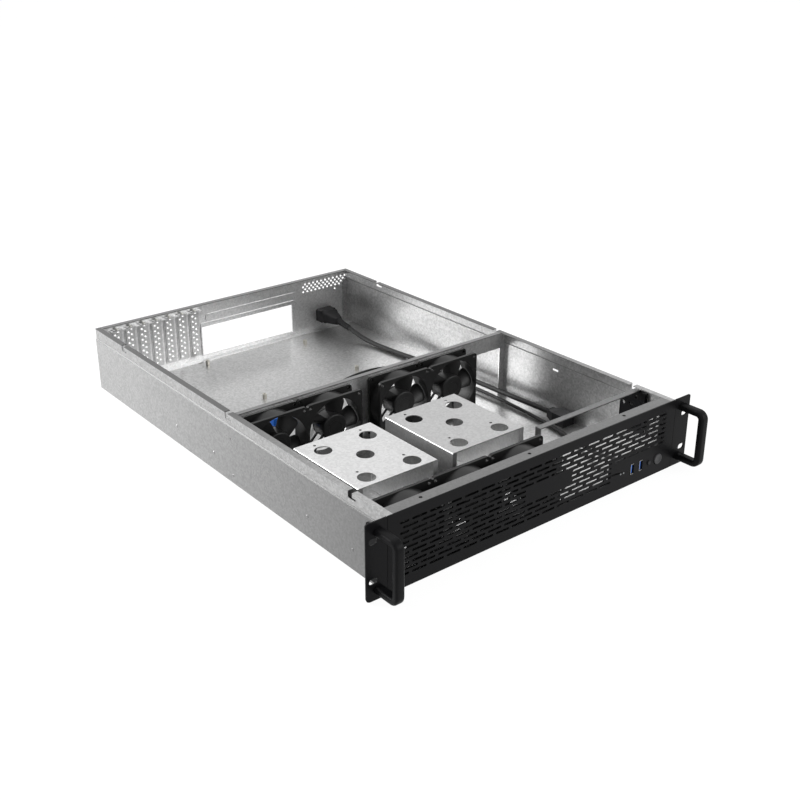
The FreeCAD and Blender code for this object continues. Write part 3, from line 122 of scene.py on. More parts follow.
class Finish:
    """A material under construction: its node tree, its shader and its coordinates."""

    def __init__(self, name):
        self.material = bpy.data.materials.new(name)
        self.material.use_nodes = True
        self.tree = self.material.node_tree
        self.shader = self.tree.nodes["Principled BSDF"]

    def node(self, kind, settings=None, inputs=None, output=0):
        """Add a node: settings first, then the value or link of each named input."""
        made = self.tree.nodes.new(kind)
        for key, value in (settings or {}).items():
            setattr(made, key, value)
        for key, value in (inputs or {}).items():
            self.feed(made.inputs[key], value)
        return Signal(self, made.outputs[output])

    def feed(self, socket, value):
        """Give a socket a link, a colour or a plain value."""
        if isinstance(value, Signal):
            self.tree.links.new(value.socket, socket)
        elif socket.type == "RGBA":
            socket.default_value = (*value, 1.0)
        else:
            socket.default_value = value

    def give(self, **inputs):
        """Set the shader's own sockets, by name with _ for a space."""
        for key, value in inputs.items():
            self.feed(self.shader.inputs[key.replace("_", " ")], value)

    def place(self, axis=None):
        """Object coordinates, metres on the case, or only one of them: X, Y or Z."""
        where = self.node("ShaderNodeTexCoord", output="Object")
        return self.node("ShaderNodeSeparateXYZ", None, {0: where}, axis) if axis else where

    def noise(self, scale, detail=2.0, stretch=None):
        """Noise between 0 and 1, with scale in features per metre, stretched along an axis."""
        where = self.place()
        if stretch:
            where = self.node("ShaderNodeMapping", None, {"Vector": where, "Scale": stretch})
        return self.node("ShaderNodeTexNoise", None, {
            "Vector": where, "Scale": scale, "Detail": detail})

    def mix(self, share, first, second):
        """A colour between first and second."""
        return self.node("ShaderNodeMix", {"data_type": "RGBA"}, {0: share, 6: first, 7: second}, 2)

    def ramp(self, value, span, height=1.0):
        """0 where value is at the span's start, rising to height at its end, and level beyond."""
        return self.node("ShaderNodeMapRange", None, {0: value, 1: span[0], 2: span[1], 4: height})

    def bump(self, height, distance, strength):
        return self.node("ShaderNodeBump", None, {
            "Height": height, "Distance": distance, "Strength": strength})


print("socket helper ready")

# %% [markdown]
# Galvanised sheet is steel with a skin of zinc. The zinc freezes in crystals two or three
# millimetres wide, which show as slightly lighter and darker flakes, and the rolled sheet mirrors
# its surroundings as a soft blur. A Voronoi pattern gives the flakes, and noise clouds the gloss
# between them. The flanges' tops are darker towards the rear. The tub's outside carries painted
# shade that deepens towards the front, and a painted shadow along its crease.

# %% Metal finishes
# Start and end of each change across the case, in metres
FLANGE_TOPS_Z = (0.0869, 0.0872)
DARK_TOPS_Y = (-0.28, 0.0)
OUTER_SKIN_X = (0.21475, 0.2149)
OUTER_SHADE_Y = (0.24, -0.31)
OUTSIDE_X = (0.2135, 0.2137)
CREASE_BELOW_Z = (0.07235, 0.07255)
CREASE_ABOVE_Z = (0.0747, 0.0745)


def grey(level):
    return (level,) * 3


def darken_rear_tops(finish, colour, level):
    """Darken the flanges' tops towards the rear."""
    share = finish.ramp(finish.place("Z"), FLANGE_TOPS_Z) * finish.ramp(finish.place("Y"), DARK_TOPS_Y)
    return finish.mix(share, colour, grey(level * 0.28))


def paint_outer_shade(finish, colour, level):
    """Painted shade on the outside, deepening towards the front, and a painted shadow along its crease.
    """
    side = finish.node("ShaderNodeMath", {"operation": "ABSOLUTE"}, {0: finish.place("X")})
    # painted shade: the outside grows darker towards the front, away from the lamp behind the case
    share = finish.ramp(side, OUTER_SKIN_X) * finish.ramp(finish.place("Y"), OUTER_SHADE_Y, 0.74)
    colour = finish.mix(share, colour, grey(level * 0.30))
    # painted shadow along the crease under the top fold, on the outside only
    height = finish.place("Z")
    crease = finish.ramp(height, CREASE_BELOW_Z) * finish.ramp(height, CREASE_ABOVE_Z)
    return finish.mix(crease * finish.ramp(side, OUTSIDE_X), colour, grey(level * 0.25))


def galvanised(name, level, rough=0.32, dark_tops=False, shaded_outside=False, spangle=1.0):
    """Zinc-coated sheet of a grey level: flakes, and faint streaks along the rolling direction.

    spangle sets how much the flakes differ. The first flag darkens the flanges' tops towards the
    rear; the second, for the tub, paints shade on its outside that deepens towards the front, and
    a shadow along its crease.
    """
    finish = Finish(name)
    flakes = finish.node("ShaderNodeTexVoronoi", None,
                         {"Vector": finish.place(), "Scale": 430.0}, "Color")
    shade = finish.node("ShaderNodeSeparateColor", None, {0: flakes})
    cloud = finish.noise(7.0, 3.0)
    streak = finish.noise(260.0, 2.0, (1.0, 0.03, 1.0))
    fine = finish.noise(900.0)
    spread = 0.14 * spangle
    colour = finish.mix(shade * 0.6 + cloud * 0.2 + streak * 0.2,
                        grey(level * (0.98 - spread)), grey(level * (0.98 + spread)))
    if dark_tops:
        colour = darken_rear_tops(finish, colour, level)
    if shaded_outside:
        colour = paint_outer_shade(finish, colour, level)
    gloss = (shade - 0.5) * 0.03 + (cloud - 0.5) * 0.10 + (streak - 0.5) * 0.06
    finish.give(Base_Color=colour, Metallic=0.84, Roughness=rough + gloss)
    finish.give(Normal=finish.bump(fine * 0.5 + streak * 0.5, 0.00002, 0.12))
    return finish.material


def zinc_bright():
    finish = Finish("zinc_bright")
    grain = finish.noise(1500.0)
    finish.give(Base_Color=finish.mix(grain, (0.55, 0.55, 0.52), (0.78, 0.77, 0.73)), Metallic=1.0,
                Roughness=0.25 + grain * 0.15)
    return finish.material


def nickel():
    finish = Finish("nickel")
    grain = finish.noise(2500.0)
    finish.give(Base_Color=(0.40, 0.395, 0.38), Metallic=1.0, Roughness=0.22 + grain * 0.15)
    return finish.material


def plated_brass():
    """Nickel-plated brass with turning marks round each post."""
    finish = Finish("plated_brass")
    rings = finish.noise(1800.0, 2.0, (0.2, 0.2, 6.0))
    finish.give(Base_Color=finish.mix(rings, (0.46, 0.44, 0.39), (0.66, 0.64, 0.58)), Metallic=1.0,
                Roughness=0.28 + rings * 0.15)
    return finish.material


print("metal finishes ready")

# %% [markdown]
# The front panel, ears and handles are powder coated: a dark paint baked from powder, with a very
# fine orange peel and a satin sheen. Moulded plastic is close to it in colour, but its texture is
# finer and its gloss more even.

# %% Dark finishes
PAINT_TINT = (0.005, 0.005, 0.0055)


def lighter(tint, times):
    return tuple(value * times for value in tint)


def powder_coat(name="powder_coat"):
    """Baked paint: orange peel in the normal, faint clouds in colour and gloss."""
    finish = Finish(name)
    peel = finish.noise(1400.0, 3.0)
    cloud = finish.noise(14.0)
    finish.give(Base_Color=finish.mix(cloud, PAINT_TINT, lighter(PAINT_TINT, 1.5)),
                Specular_IOR_Level=0.08,
                Roughness=0.40 + (cloud - 0.5) * 0.12 + (peel - 0.5) * 0.1)
    finish.give(Normal=finish.bump(peel, 0.00006, 0.4))
    return finish.material


def moulded(name, tint=(0.012, 0.012, 0.013), rough=0.48):
    """Moulded plastic: an even, very fine grain."""
    finish = Finish(name)
    grain = finish.noise(2200.0)
    finish.give(Base_Color=finish.mix(grain, tint, lighter(tint, 1.35)),
                Specular_IOR_Level=0.25, Roughness=rough + (grain - 0.5) * 0.12)
    finish.give(Normal=finish.bump(grain, 0.00003, 0.4))
    return finish.material


def blue_moulded():
    finish = Finish("blue_moulded")
    grain = finish.noise(1500.0)
    finish.give(Base_Color=finish.mix(grain, (0.01, 0.13, 0.62), (0.02, 0.20, 0.80)),
                Roughness=0.3 + grain * 0.1)
    return finish.material


def clear_lamp():
    finish = Finish("clear_lamp")
    cloud = finish.noise(600.0)
    finish.give(Base_Color=finish.mix(cloud, (0.20, 0.21, 0.22), (0.32, 0.33, 0.34)),
                Roughness=0.15 + cloud * 0.1)
    return finish.material


FINISHES = {
    "galvanised_steel": galvanised("galvanised", 0.44, dark_tops=True, shaded_outside=True, spangle=1.9),
    "black_paint": powder_coat(),
    "zinc_screws": zinc_bright(),
    "black_screws": powder_coat("black_screw"),
    "fan_black": moulded("fan_frame", (0.012, 0.012, 0.012), 0.42),
    "rotor_black": moulded("fan_rotor", (0.015, 0.015, 0.015), 0.38),
    "dark_plastic": moulded("dark_plastic"),
    "socket_metal": nickel(),
    "blue_plastic": blue_moulded(),
    "clear_lens": clear_lamp(),
    "brass": plated_brass(),
    "cord_black": moulded("cord_jacket", (0.016, 0.016, 0.016), 0.45),
}
# Copies of the same galvanised sheet at other grey levels, one per part, stand in for how light falls:
# the brighter copies are painted light and the darkest is painted shade.
PAINTED_LIT_SHEET = galvanised("painted_lit_sheet", 0.70)
PAINTED_MIDTONE_SHEET = galvanised("painted_midtone_sheet", 0.52)
PAINTED_LIT_REAR_SHEET = galvanised("painted_lit_rear_sheet", 0.68, dark_tops=True, spangle=1.3)
PAINTED_SHADE_SHEET = galvanised("painted_shade_sheet", 0.20, 0.34)
SHEETS = {
    "rear_panel": PAINTED_LIT_REAR_SHEET, "fan_wall": PAINTED_LIT_REAR_SHEET,
    "front_frame": PAINTED_SHADE_SHEET, "psu_hold_down_bar": PAINTED_SHADE_SHEET,
    "drive_cage_left": PAINTED_LIT_SHEET, "drive_cage_right": PAINTED_MIDTONE_SHEET,
    "side_rivets": FINISHES["galvanised_steel"],
    "power_button": moulded("grey_key", (0.045, 0.045, 0.047), 0.4),
}
SHEETS.update({f"slot_cover_{number}": PAINTED_MIDTONE_SHEET for number in range(1, 8)})
SLOT_OF = {part["node"]: part["material_slot"] for part in frame["record"]["subparts"]}


def finish_of(node):
    """A node's own finish, such as a copy of the sheet made lighter or darker with painted light or
    shade, or else the finish of its slot.
    """
    return SHEETS.get(node, FINISHES[SLOT_OF[node]])


for name, thing in frame["nodes"].items():
    thing.data.materials.clear()
    thing.data.materials.append(finish_of(name))
print(len({*FINISHES.values(), *SHEETS.values()}), "finishes on", len(SLOT_OF), "nodes")

# %% [markdown]
# Two cords lie in the case. The supply lead leaves the inlet's neck and runs along the right wall.
# The front sockets' lead comes through the gap beside the fans and bends to the left behind the fan
# wall. Each is a smooth spline with the same control points as its solid.

# %% Cords
POWER_ROUTE = [
    (171.0, 611.0, 20.0), (171.5, 585.0, 16.0), (175.5, 545.0, 5.6), (181.0, 490.0, 4.7),
    (190.0, 425.0, 5.2), (197.0, 350.0, 7.0), (197.5, 265.0, 9.0), (201.0, 185.0, 9.6),
]
SIGNAL_ROUTE = [
    (153.0, 12.5, 18.0), (153.0, 34.0, 18.0), (159.0, 68.0, 8.5), (172.0, 112.0, 3.9),
    (182.0, 170.0, 3.7), (185.0, 235.0, 5.0), (183.5, 300.0, 6.4), (180.0, 362.0, 6.0),
    (166.0, 418.0, 5.0), (132.0, 452.0, 4.0), (84.0, 455.0, 3.7), (34.0, 439.0, 3.7),
    (-16.0, 395.0, 3.7), (-50.0, 363.0, 6.0), (-83.0, 337.0, 19.0), (-113.0, 324.5, 38.0),
]


def cord_curve(name, points, smoothness):
    """A NURBS curve of order three, from its first control point to its last."""
    curve = bpy.data.curves.new(name, "CURVE")
    curve.dimensions = "3D"
    curve.resolution_u = smoothness
    line = curve.splines.new("NURBS")
    line.points.add(len(points) - 1)
    line.points.foreach_set("co", np.column_stack([points, np.ones(len(points))]).ravel())
    line.order_u = 3
    line.use_endpoint_u = True
    return curve


def line_points(curve):
    """Points along a curve's smooth line, without its thickness."""
    bare = curve.copy()
    bare.bevel_depth = 0.0
    probe = bpy.data.objects.new("probe", bare)
    bpy.context.collection.objects.link(probe)
    mesh = bpy.data.meshes.new_from_object(probe)
    points = np.empty(len(mesh.vertices) * 3)
    mesh.vertices.foreach_get("co", points)
    bpy.data.objects.remove(probe)
    bpy.data.meshes.remove(mesh)
    bpy.data.curves.remove(bare)
    return points.reshape(-1, 3)


def distance_along(points):
    """Distance of each point from the first, measured along the line."""
    steps = np.linalg.norm(np.diff(points, axis=0), axis=1)
    return np.concatenate([[0.0], np.cumsum(steps)])


def lay_cord(name, node, route, radius):
    """A round cord whose control points are the route, in metres on the case."""
    curve = cord_curve(name, np.array(route) / 1000 + (0.0, PANEL_Y, 0.0), 12)
    curve.bevel_depth = radius
    curve.bevel_resolution = 5
    curve.use_fill_caps = True
    cord = bpy.data.objects.new(name, curve)
    bpy.context.collection.objects.link(cord)
    curve.materials.append(FINISHES["cord_black"])
    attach(cord, CASE)
    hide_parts(node)
    length = float(distance_along(line_points(curve))[-1])
    print(name, "is", round(length, 3), "m long")


lay_cord("supply_lead", "power_cord", POWER_ROUTE, 0.0035)
lay_cord("front_lead", "signal_cord", SIGNAL_ROUTE, 0.0023)

# %% [markdown]
# The solids have flat facets where the real pieces are round. Each such piece is made again here as
# a surface of numbers: a grid of points worked out with numpy, or a flat outline with holes that is
# given a thickness. Every place is in millimetres from the middle of the panel's lower edge, so the
# values read like a drawing.

# %% Shapes from arrays
AXES = {"yz": (0, 1, 2), "xz": (1, 0, 2), "xy": (2, 0, 1)}


def grid_quads(rows, columns, closed_rows=False):
    """Corner numbers of the quads between neighbouring rows and columns, closed round a row."""
    starts = np.arange(rows if closed_rows else rows - 1)
    row, column = np.meshgrid(starts, np.arange(columns), indexing="ij")
    below, right = (row + 1) % rows, (column + 1) % columns
    quads = np.stack([row * columns + column, row * columns + right,
                      below * columns + right, below * columns + column], axis=-1)
    return quads.reshape(-1, 4).tolist()


class Shape:
    """Patches of points and faces that together make one piece, in millimetres."""

    def __init__(self):
        self.points = []
        self.faces = []
        self.count = 0

    def add(self, patch):
        """Add a patch: its points, and each face as a list of their numbers."""
        points, faces = patch
        self.points.append(points)
        self.faces += [[corner + self.count for corner in face] for face in faces]
        self.count += len(points)
        return self

    def finish(self, name, node, body=CASE, sharp=38.0, bevel=0.0):
        """Weld the patches, turn the faces outward, and dress the piece as the CAD node was."""
        mesh = bpy.data.meshes.new(name)
        mesh.from_pydata(np.concatenate(self.points) / 1000 + (0.0, PANEL_Y, 0.0), [], self.faces)
        weld = bmesh.new()
        weld.from_mesh(mesh)
        bmesh.ops.remove_doubles(weld, verts=weld.verts, dist=0.000001)
        bmesh.ops.recalc_face_normals(weld, faces=weld.faces)
        weld.to_mesh(mesh)
        weld.free()
        mesh.polygons.foreach_set("use_smooth", np.ones(len(mesh.polygons), dtype=bool))
        mesh.set_sharp_from_angle(angle=math.radians(sharp))
        mesh.materials.append(finish_of(node))
        piece = bpy.data.objects.new(name, mesh)
        bpy.context.collection.objects.link(piece)
        if bevel:
            eased = piece.modifiers.new("eased_edges", "BEVEL")
            eased.width = bevel / 1000
            eased.segments = 2
            eased.limit_method = "ANGLE"
            eased.angle_limit = math.radians(50.0)
        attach(piece, body)
        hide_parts(node)


def circle(x, y, radius, sides=32):
    """Points round a circle: centre plus radius times cosine and sine."""
    angle = 2 * np.pi * np.arange(sides) / sides
    return np.stack([x + radius * np.cos(angle), y + radius * np.sin(angle)], axis=1)


def soft_box(x0, y0, x1, y1, radius, steps=6):
    """Rectangle with quarter circles at its corners, anticlockwise from the lower right."""
    angle = np.linspace(0, np.pi / 2, steps)
    corners = []
    for x, y, start in ((x1 - radius, y0 + radius, -0.5), (x1 - radius, y1 - radius, 0.0),
                        (x0 + radius, y1 - radius, 0.5), (x0 + radius, y0 + radius, 1.0)):
        turn = angle + start * np.pi
        corners.append(np.stack([x + radius * np.cos(turn), y + radius * np.sin(turn)], axis=1))
    return np.concatenate(corners)


def plate(outline, holes, low, high, plane="xz"):
    """Flat sheet with holes, from low to high across its plane.

    Both faces are the same triangles, and every loop of n points gets n walls between them.
    """
    loops = [np.asarray(loop, dtype=float) for loop in [outline, *holes]]
    flat = np.concatenate(loops)
    triangles = tessellate_polygon([[Vector((*point, 0.0)) for point in loop] for loop in loops])
    count = len(flat)
    across, first, second = AXES[plane]
    points = np.empty((2 * count, 3))
    points[:, first] = np.tile(flat[:, 0], 2)
    points[:, second] = np.tile(flat[:, 1], 2)
    points[:, across] = np.repeat([low, high], count)
    faces = [list(face) for face in triangles]
    faces += [[corner + count for corner in reversed(face)] for face in triangles]
    start = 0
    for loop in loops:
        here = start + np.arange(len(loop))
        after = start + (np.arange(len(loop)) + 1) % len(loop)
        faces += np.stack([here, after, after + count, here + count], axis=1).tolist()
        start += len(loop)
    return points, faces


def turned(profile, sides, centre, axis=1, outward=1, ring=False):
    """Surface of revolution: radius r and distance a of each profile point give
    centre + r cos t, centre + r sin t across the axis and centre + a along it."""
    radius, along = np.asarray(profile, dtype=float).T
    angle = 2 * np.pi * np.arange(sides) / sides
    first, second = [k for k in range(3) if k != axis]
    points = np.zeros((len(radius), sides, 3))
    points[..., first] = radius[:, None] * np.cos(angle)
    points[..., second] = radius[:, None] * np.sin(angle)
    points[..., axis] = outward * along[:, None]
    faces = grid_quads(len(radius), sides, ring)
    if not ring:
        last = (len(radius) - 1) * sides
        faces += [list(range(sides)), list(range(last, last + sides))]
    return points.reshape(-1, 3) + np.asarray(centre, dtype=float), faces


def loft(rings):
    """Skin over rings of points, rows by columns by 3, closed by a flat face at each end."""
    rows, columns = rings.shape[:2]
    last = (rows - 1) * columns
    ends = [list(range(columns)), list(range(last, last + columns))]
    return rings.reshape(-1, 3), grid_quads(rows, columns) + ends


print("shape helpers ready")

# %% [markdown]
# Each fan is an 80 mm moulding: two square flanges with round corners, joined by a thin barrel, and
# four ribs that carry the motor's base. The rotor is a cup with five blades. A blade's section is a
# thin crescent, and from the hub to the tip it grows longer and turns flatter, which gives the twist
# that catches the light.

# %% Fans
FAN_Z = 44.5
FAN_HALF, FAN_DEEP = 40.0, 25.0
FLANGE_THICK = 4.0
BORE_R, BARREL_R = 38.0, 39.6
SCREW_OUT = 35.75
BLADES = 5
MID_FANS = (-167.5, -87.5, 19.8, 99.8)
FRONT_FANS = (-167.0, -87.0, -7.0)
MID_FAN_Y = 261.0
FRONT_FAN_Y = 15.8

# One rotor rests turned, so that the blue plug behind it shows between two blades
REST_TURN = {("mid", 1): math.radians(-28.0)}


def fan_frame(x, front):
    """Flanges with a bore and four screw holes, a barrel between them, and a motor base on ribs."""
    shape = Shape()
    outline = soft_box(x - FAN_HALF, FAN_Z - FAN_HALF, x + FAN_HALF, FAN_Z + FAN_HALF, 4.5)
    holes = [circle(x, FAN_Z, BORE_R, 64)]
    holes += [circle(x + a, FAN_Z + b, 2.2, 14)
              for a in (-SCREW_OUT, SCREW_OUT) for b in (-SCREW_OUT, SCREW_OUT)]
    for low in (0.0, FAN_DEEP - FLANGE_THICK):
        shape.add(plate(outline, holes, front + low, front + low + FLANGE_THICK))
    near, far = FLANGE_THICK - 0.05, FAN_DEEP - FLANGE_THICK + 0.05
    barrel = [(BORE_R, near), (BORE_R, far), (BARREL_R, far), (BARREL_R, near)]
    shape.add(turned(barrel, 64, (x, front, FAN_Z), ring=True))
    base = [(15.0, 22.5), (16.6, 22.7), (17.0, 23.2), (17.0, FAN_DEEP)]
    shape.add(turned(base, 40, (x, front, FAN_Z)))
    for turn in np.pi * (np.arange(4) + 0.5) / 2:
        shape.add(fan_rib(x, front, turn))
    return shape


def fan_rib(x, front, turn):
    """Straight rib from the base to the barrel: a rounded section carried outward along a ray."""
    across, along = soft_box(-1.5, 22.6, 1.5, FAN_DEEP, 0.7, 4).T
    reach = np.linspace(16.5, 38.6, 3)[:, None]
    rings = np.broadcast_arrays(
        x + reach * np.cos(turn) - across * np.sin(turn),
        front + along,
        FAN_Z + reach * np.sin(turn) + across * np.cos(turn))
    return loft(np.stack(rings, axis=-1))


def fan_blade(x, front, turn):
    """Twisted blade on a grid of radius share s and phase p round its section.

    The chord's half h and the angle a change evenly with s. Along the chord u = -h cos p, across it
    v = 2.2 sin p squared + 0.9 sin p. The point lies at y = middle + u cos a - v sin a and at
    the angle turn + (u sin a + v cos a + 5 s) / r round the axis.
    """
    share = np.linspace(0.0, 1.0, 14)[:, None]
    phase = 2 * np.pi * np.arange(24)[None, :] / 24
    radius = 15.3 + 21.7 * share
    rounding = 1.0 - 0.22 * np.clip((share - 0.8) / 0.2, 0.0, 1.0) ** 2
    half = (9.5 + 4.0 * share) * rounding
    angle = np.radians(38.0 + 20.0 * share)
    u = -half * np.cos(phase)
    v = 2.2 * np.sin(phase) ** 2 + 0.9 * np.sin(phase)
    about = turn + (u * np.sin(angle) + v * np.cos(angle) + 5.0 * share) / radius
    rings = np.stack([
        x + radius * np.cos(about),
        front + 11.85 + u * np.cos(angle) - v * np.sin(angle),
        FAN_Z + radius * np.sin(about)], axis=-1)
    return loft(rings)


def fan_rotor(x, front, start):
    """Hub cup with an eased rim and a shallow recess in its face, and blades from a start angle."""
    hub = [(8.6, 1.9), (9.0, 1.5), (14.6, 1.5), (16.0, 1.75), (16.8, 2.5), (17.0, 3.6),
           (17.0, 21.8), (16.7, 22.2)]
    shape = Shape().add(turned(hub, 48, (x, front, FAN_Z)))
    for turn in start + 2 * np.pi * np.arange(BLADES) / BLADES:
        shape.add(fan_blade(x, front, turn))
    return shape


for row, centres, front in (("mid", MID_FANS, MID_FAN_Y), ("front", FRONT_FANS, FRONT_FAN_Y)):
    for number, x in enumerate(centres, 1):
        rotor = f"{row}_fan_rotor_{number}"
        fan_frame(x, front).finish(f"{row}_fan_{number}_housing", f"{row}_fan_frame_{number}")
        blades = fan_rotor(x, front, REST_TURN.get((row, number), 0.0))
        blades.finish(f"{row}_fan_{number}_blades", rotor, f"{rotor}_body")
print("seven fans made")

# %% [markdown]
# The handles are bars bent into a U, with their edges rolled round. A rounded section is carried
# along the bend: each point of the section keeps its distance from the path's inner side.

# %% Handles
HANDLE_X = 226.5
HANDLE_LOW, HANDLE_TOP = 8.0, 80.5
HANDLE_REACH = 35.0
HANDLE_BEND = 11.0
HANDLE_BAR = 8.0


def bow_handle(side):
    """U of a rounded section: point = corner centre + (bend - bar / 2 + b) n at x + a.

    n turns from straight down through forward to straight up, in the plane across the case.
    """
    turn = np.radians(np.concatenate([
        [-90.0], np.linspace(-90, -180, 10), np.linspace(-180, -270, 10), [-270.0]]))
    y = np.concatenate([[0.0], np.full(20, HANDLE_BEND - HANDLE_REACH), [0.0]])
    z = np.repeat([HANDLE_LOW + HANDLE_BEND, HANDLE_TOP - HANDLE_BEND], 11)
    across, above = soft_box(-5.5, -HANDLE_BAR / 2, 5.5, HANDLE_BAR / 2, 2.6).T
    out = HANDLE_BEND - HANDLE_BAR / 2 + above
    rings = np.broadcast_arrays(
        side * HANDLE_X + across,
        y[:, None] + out * np.cos(turn)[:, None],
        z[:, None] + out * np.sin(turn)[:, None])
    return Shape().add(loft(np.stack(rings, axis=-1)))


bow_handle(-1).finish("left_bow", "handle_left")
bow_handle(1).finish("right_bow", "handle_right")
print("two handles made")

# %% [markdown]
# The ears are thick plates with two oblong holes each, which take the rack's screws wherever the
# posts' own holes fall. Their edges are eased, so they catch a thin line of light. The panel between
# them is punched with rows of round-ended slots, staggered like brickwork, around a plain field.

# %% Front panel and ears
def oblong(x0, x1, z, high, steps=7):
    """Slot with half-round ends between x0 and x1, centred at height z."""
    return soft_box(x0, z - high / 2, x1, z + high / 2, min(high, x1 - x0) / 2 - 0.001, steps)


EAR_OUTLINE = [(215.0, 0.0), (236.8, 0.0), (239.95, 1.35), (241.3, 4.5),
               (241.3, 86.6), (239.8, 88.1), (215.0, 88.1)]
EAR_HOLE_X, EAR_HOLES_Z = 232.55, (22.225, 66.675)


def rack_ear(side):
    """Plate with cut corners and two oblong holes, and the strip that returns along the wall."""
    middle = side * EAR_HOLE_X
    holes = [oblong(middle - 5.15, middle + 5.15, z, 6.8) for z in EAR_HOLES_Z]
    shape = Shape().add(plate(np.array(EAR_OUTLINE) * (side, 1), holes, 0.0, 2.0))
    strip = [(1.0, 4.5), (32.0, 4.5), (32.0, 68.0), (1.0, 68.0)]
    low, high = sorted((side * 215.0, side * 217.0))
    return shape.add(plate(strip, [], low, high, "yz"))


SLOT_ROWS, ROW_PITCH, FIRST_ROW_Z = 11, 6.0, 15.0
SLOT_LONG, SLOT_HIGH, SLOT_PITCH, SLOT_SHORTEST = 19.0, 2.7, 22.8, 5.0
SLOT_EDGE = 214.7 - 15.2
BUTTONS_LEFT, BUTTONS_TOP = 108.0, 37.0
PLAIN_LEFT, PLAIN_RIGHT = 7.0 - 35.0, 7.0 + 35.0
PLAIN_Z, PLAIN_HIGH = 43.5, 15.0


def panel_slots():
    """Left end, right end and height of every slot, row by row, as punched in the sheet.

    The rows beside the buttons end before them, and the rows at the plain field leave it out.
    """
    for row in range(SLOT_ROWS):
        z = FIRST_ROW_Z + ROW_PITCH * row
        right_end = SLOT_EDGE if z > BUTTONS_TOP else BUTTONS_LEFT
        start = SLOT_EDGE - SLOT_LONG - (SLOT_PITCH / 2 if row % 2 else 0)
        level = abs(z - PLAIN_Z) < (PLAIN_HIGH + SLOT_HIGH) / 2
        for k in range(-1, 19):
            x0 = max(start - SLOT_PITCH * k, -SLOT_EDGE)
            x1 = min(start - SLOT_PITCH * k + SLOT_LONG, right_end)
            split = level and x1 > PLAIN_LEFT and x0 < PLAIN_RIGHT
            for a, b in ((x0, PLAIN_LEFT), (PLAIN_RIGHT, x1)) if split else ((x0, x1),):
                if b - a >= SLOT_SHORTEST:
                    yield a, b, z


def slotted_panel():
    """Sheet with the slots, the openings of two sockets, two buttons and two lamps."""
    outline = soft_box(-214.7, 0.0, 214.7, 88.1, 0.8, 3)
    holes = [oblong(a, b, z, SLOT_HIGH) for a, b, z in panel_slots()]
    holes += [soft_box(x - 3.1, 13.0, x + 3.1, 26.6, 0.5, 3) for x in (144.4, 159.4)]
    holes += [circle(189.3, 19.0, 6.75, 40), circle(173.5, 19.0, 2.75, 24)]
    holes += [circle(125.0 + 5.0 * k, 19.5, 1.5, 16) for k in range(2)]
    return Shape().add(plate(outline, holes, 0.0, 1.5))


for side, word in ((-1, "left"), (1, "right")):
    rack_ear(side).finish(word + "_rack_ear", "ear_" + word, bevel=0.3)
slotted_panel().finish("slotted_front", "front_panel", bevel=0.12)
print("panel with", len(list(panel_slots())), "slots and two ears made")

# %% [markdown]
# Screws and rivets are small, but a domed head shows as a bright dot with a dark rim. The solids
# already hold their places, so each separate solid of a node is measured and a turned head is put in
# its box.

# %% Screws, rivets, buttons and lamps
PAN_HEAD = [(1.0, 0.0), (1.0, 0.4), (0.93, 0.68), (0.78, 0.87), (0.58, 0.98), (0.40, 1.0), (0.28, 0.55)]
RIVET_HEAD = [(1.0, 0.0), (0.97, 0.3), (0.85, 0.6), (0.62, 0.85), (0.34, 0.98), (0.12, 1.0)]
BUTTON = [(1.0, 0.0), (1.0, 0.94), (0.97, 0.98), (0.9, 1.0), (0.8, 1.0), (0.74, 0.985)]
LENS = [(1.0, 0.0), (1.0, 0.85), (0.85, 0.95), (0.5, 1.0), (0.2, 1.0)]


def separate_boxes(node):
    """Lowest and highest corner, in millimetres, of each separate solid of a CAD node.

    Points at one place share a number, and the lowest number spreads along the edges until nothing
    changes, so that each solid ends with one number of its own.
    """
    mesh = frame["nodes"][node].data
    places = np.empty(len(mesh.vertices) * 3)
    mesh.vertices.foreach_get("co", places)
    places = places.reshape(-1, 3)
    edges = np.empty(len(mesh.edges) * 2, dtype=int)
    mesh.edges.foreach_get("vertices", edges)
    same = np.unique(places.round(6), axis=0, return_inverse=True)[1].reshape(-1)
    ends = same[edges.reshape(-1, 2)]
    label = np.arange(same.max() + 1)
    while True:
        spread = label.copy()
        lowest = label[ends].min(axis=1)
        np.minimum.at(spread, ends[:, 0], lowest)
        np.minimum.at(spread, ends[:, 1], lowest)
        if (spread == label).all():
            break
        label = spread
    places = (places - (0.0, PANEL_Y, 0.0)) * 1000
    groups = [places[label[same] == value] for value in np.unique(label)]
    return [(group.min(axis=0), group.max(axis=0)) for group in groups]


def heads(name, node, profile, axis, facing, body=CASE, sides=24):
    """One turned head in each box, which its profile fills, facing up (1) or down (-1) the axis."""
    shape = Shape()
    for low, high in separate_boxes(node):
        middle = (low + high) / 2
        size = high - low
        radius = max(size[k] for k in range(3) if k != axis) / 2
        outward = facing(middle)
        base = middle.copy()
        base[axis] = low[axis] if outward > 0 else high[axis]
        scaled = [(r * radius, a * size[axis]) for r, a in profile]
        shape.add(turned(scaled, sides, base, axis, outward))
    shape.finish(name, node, body)


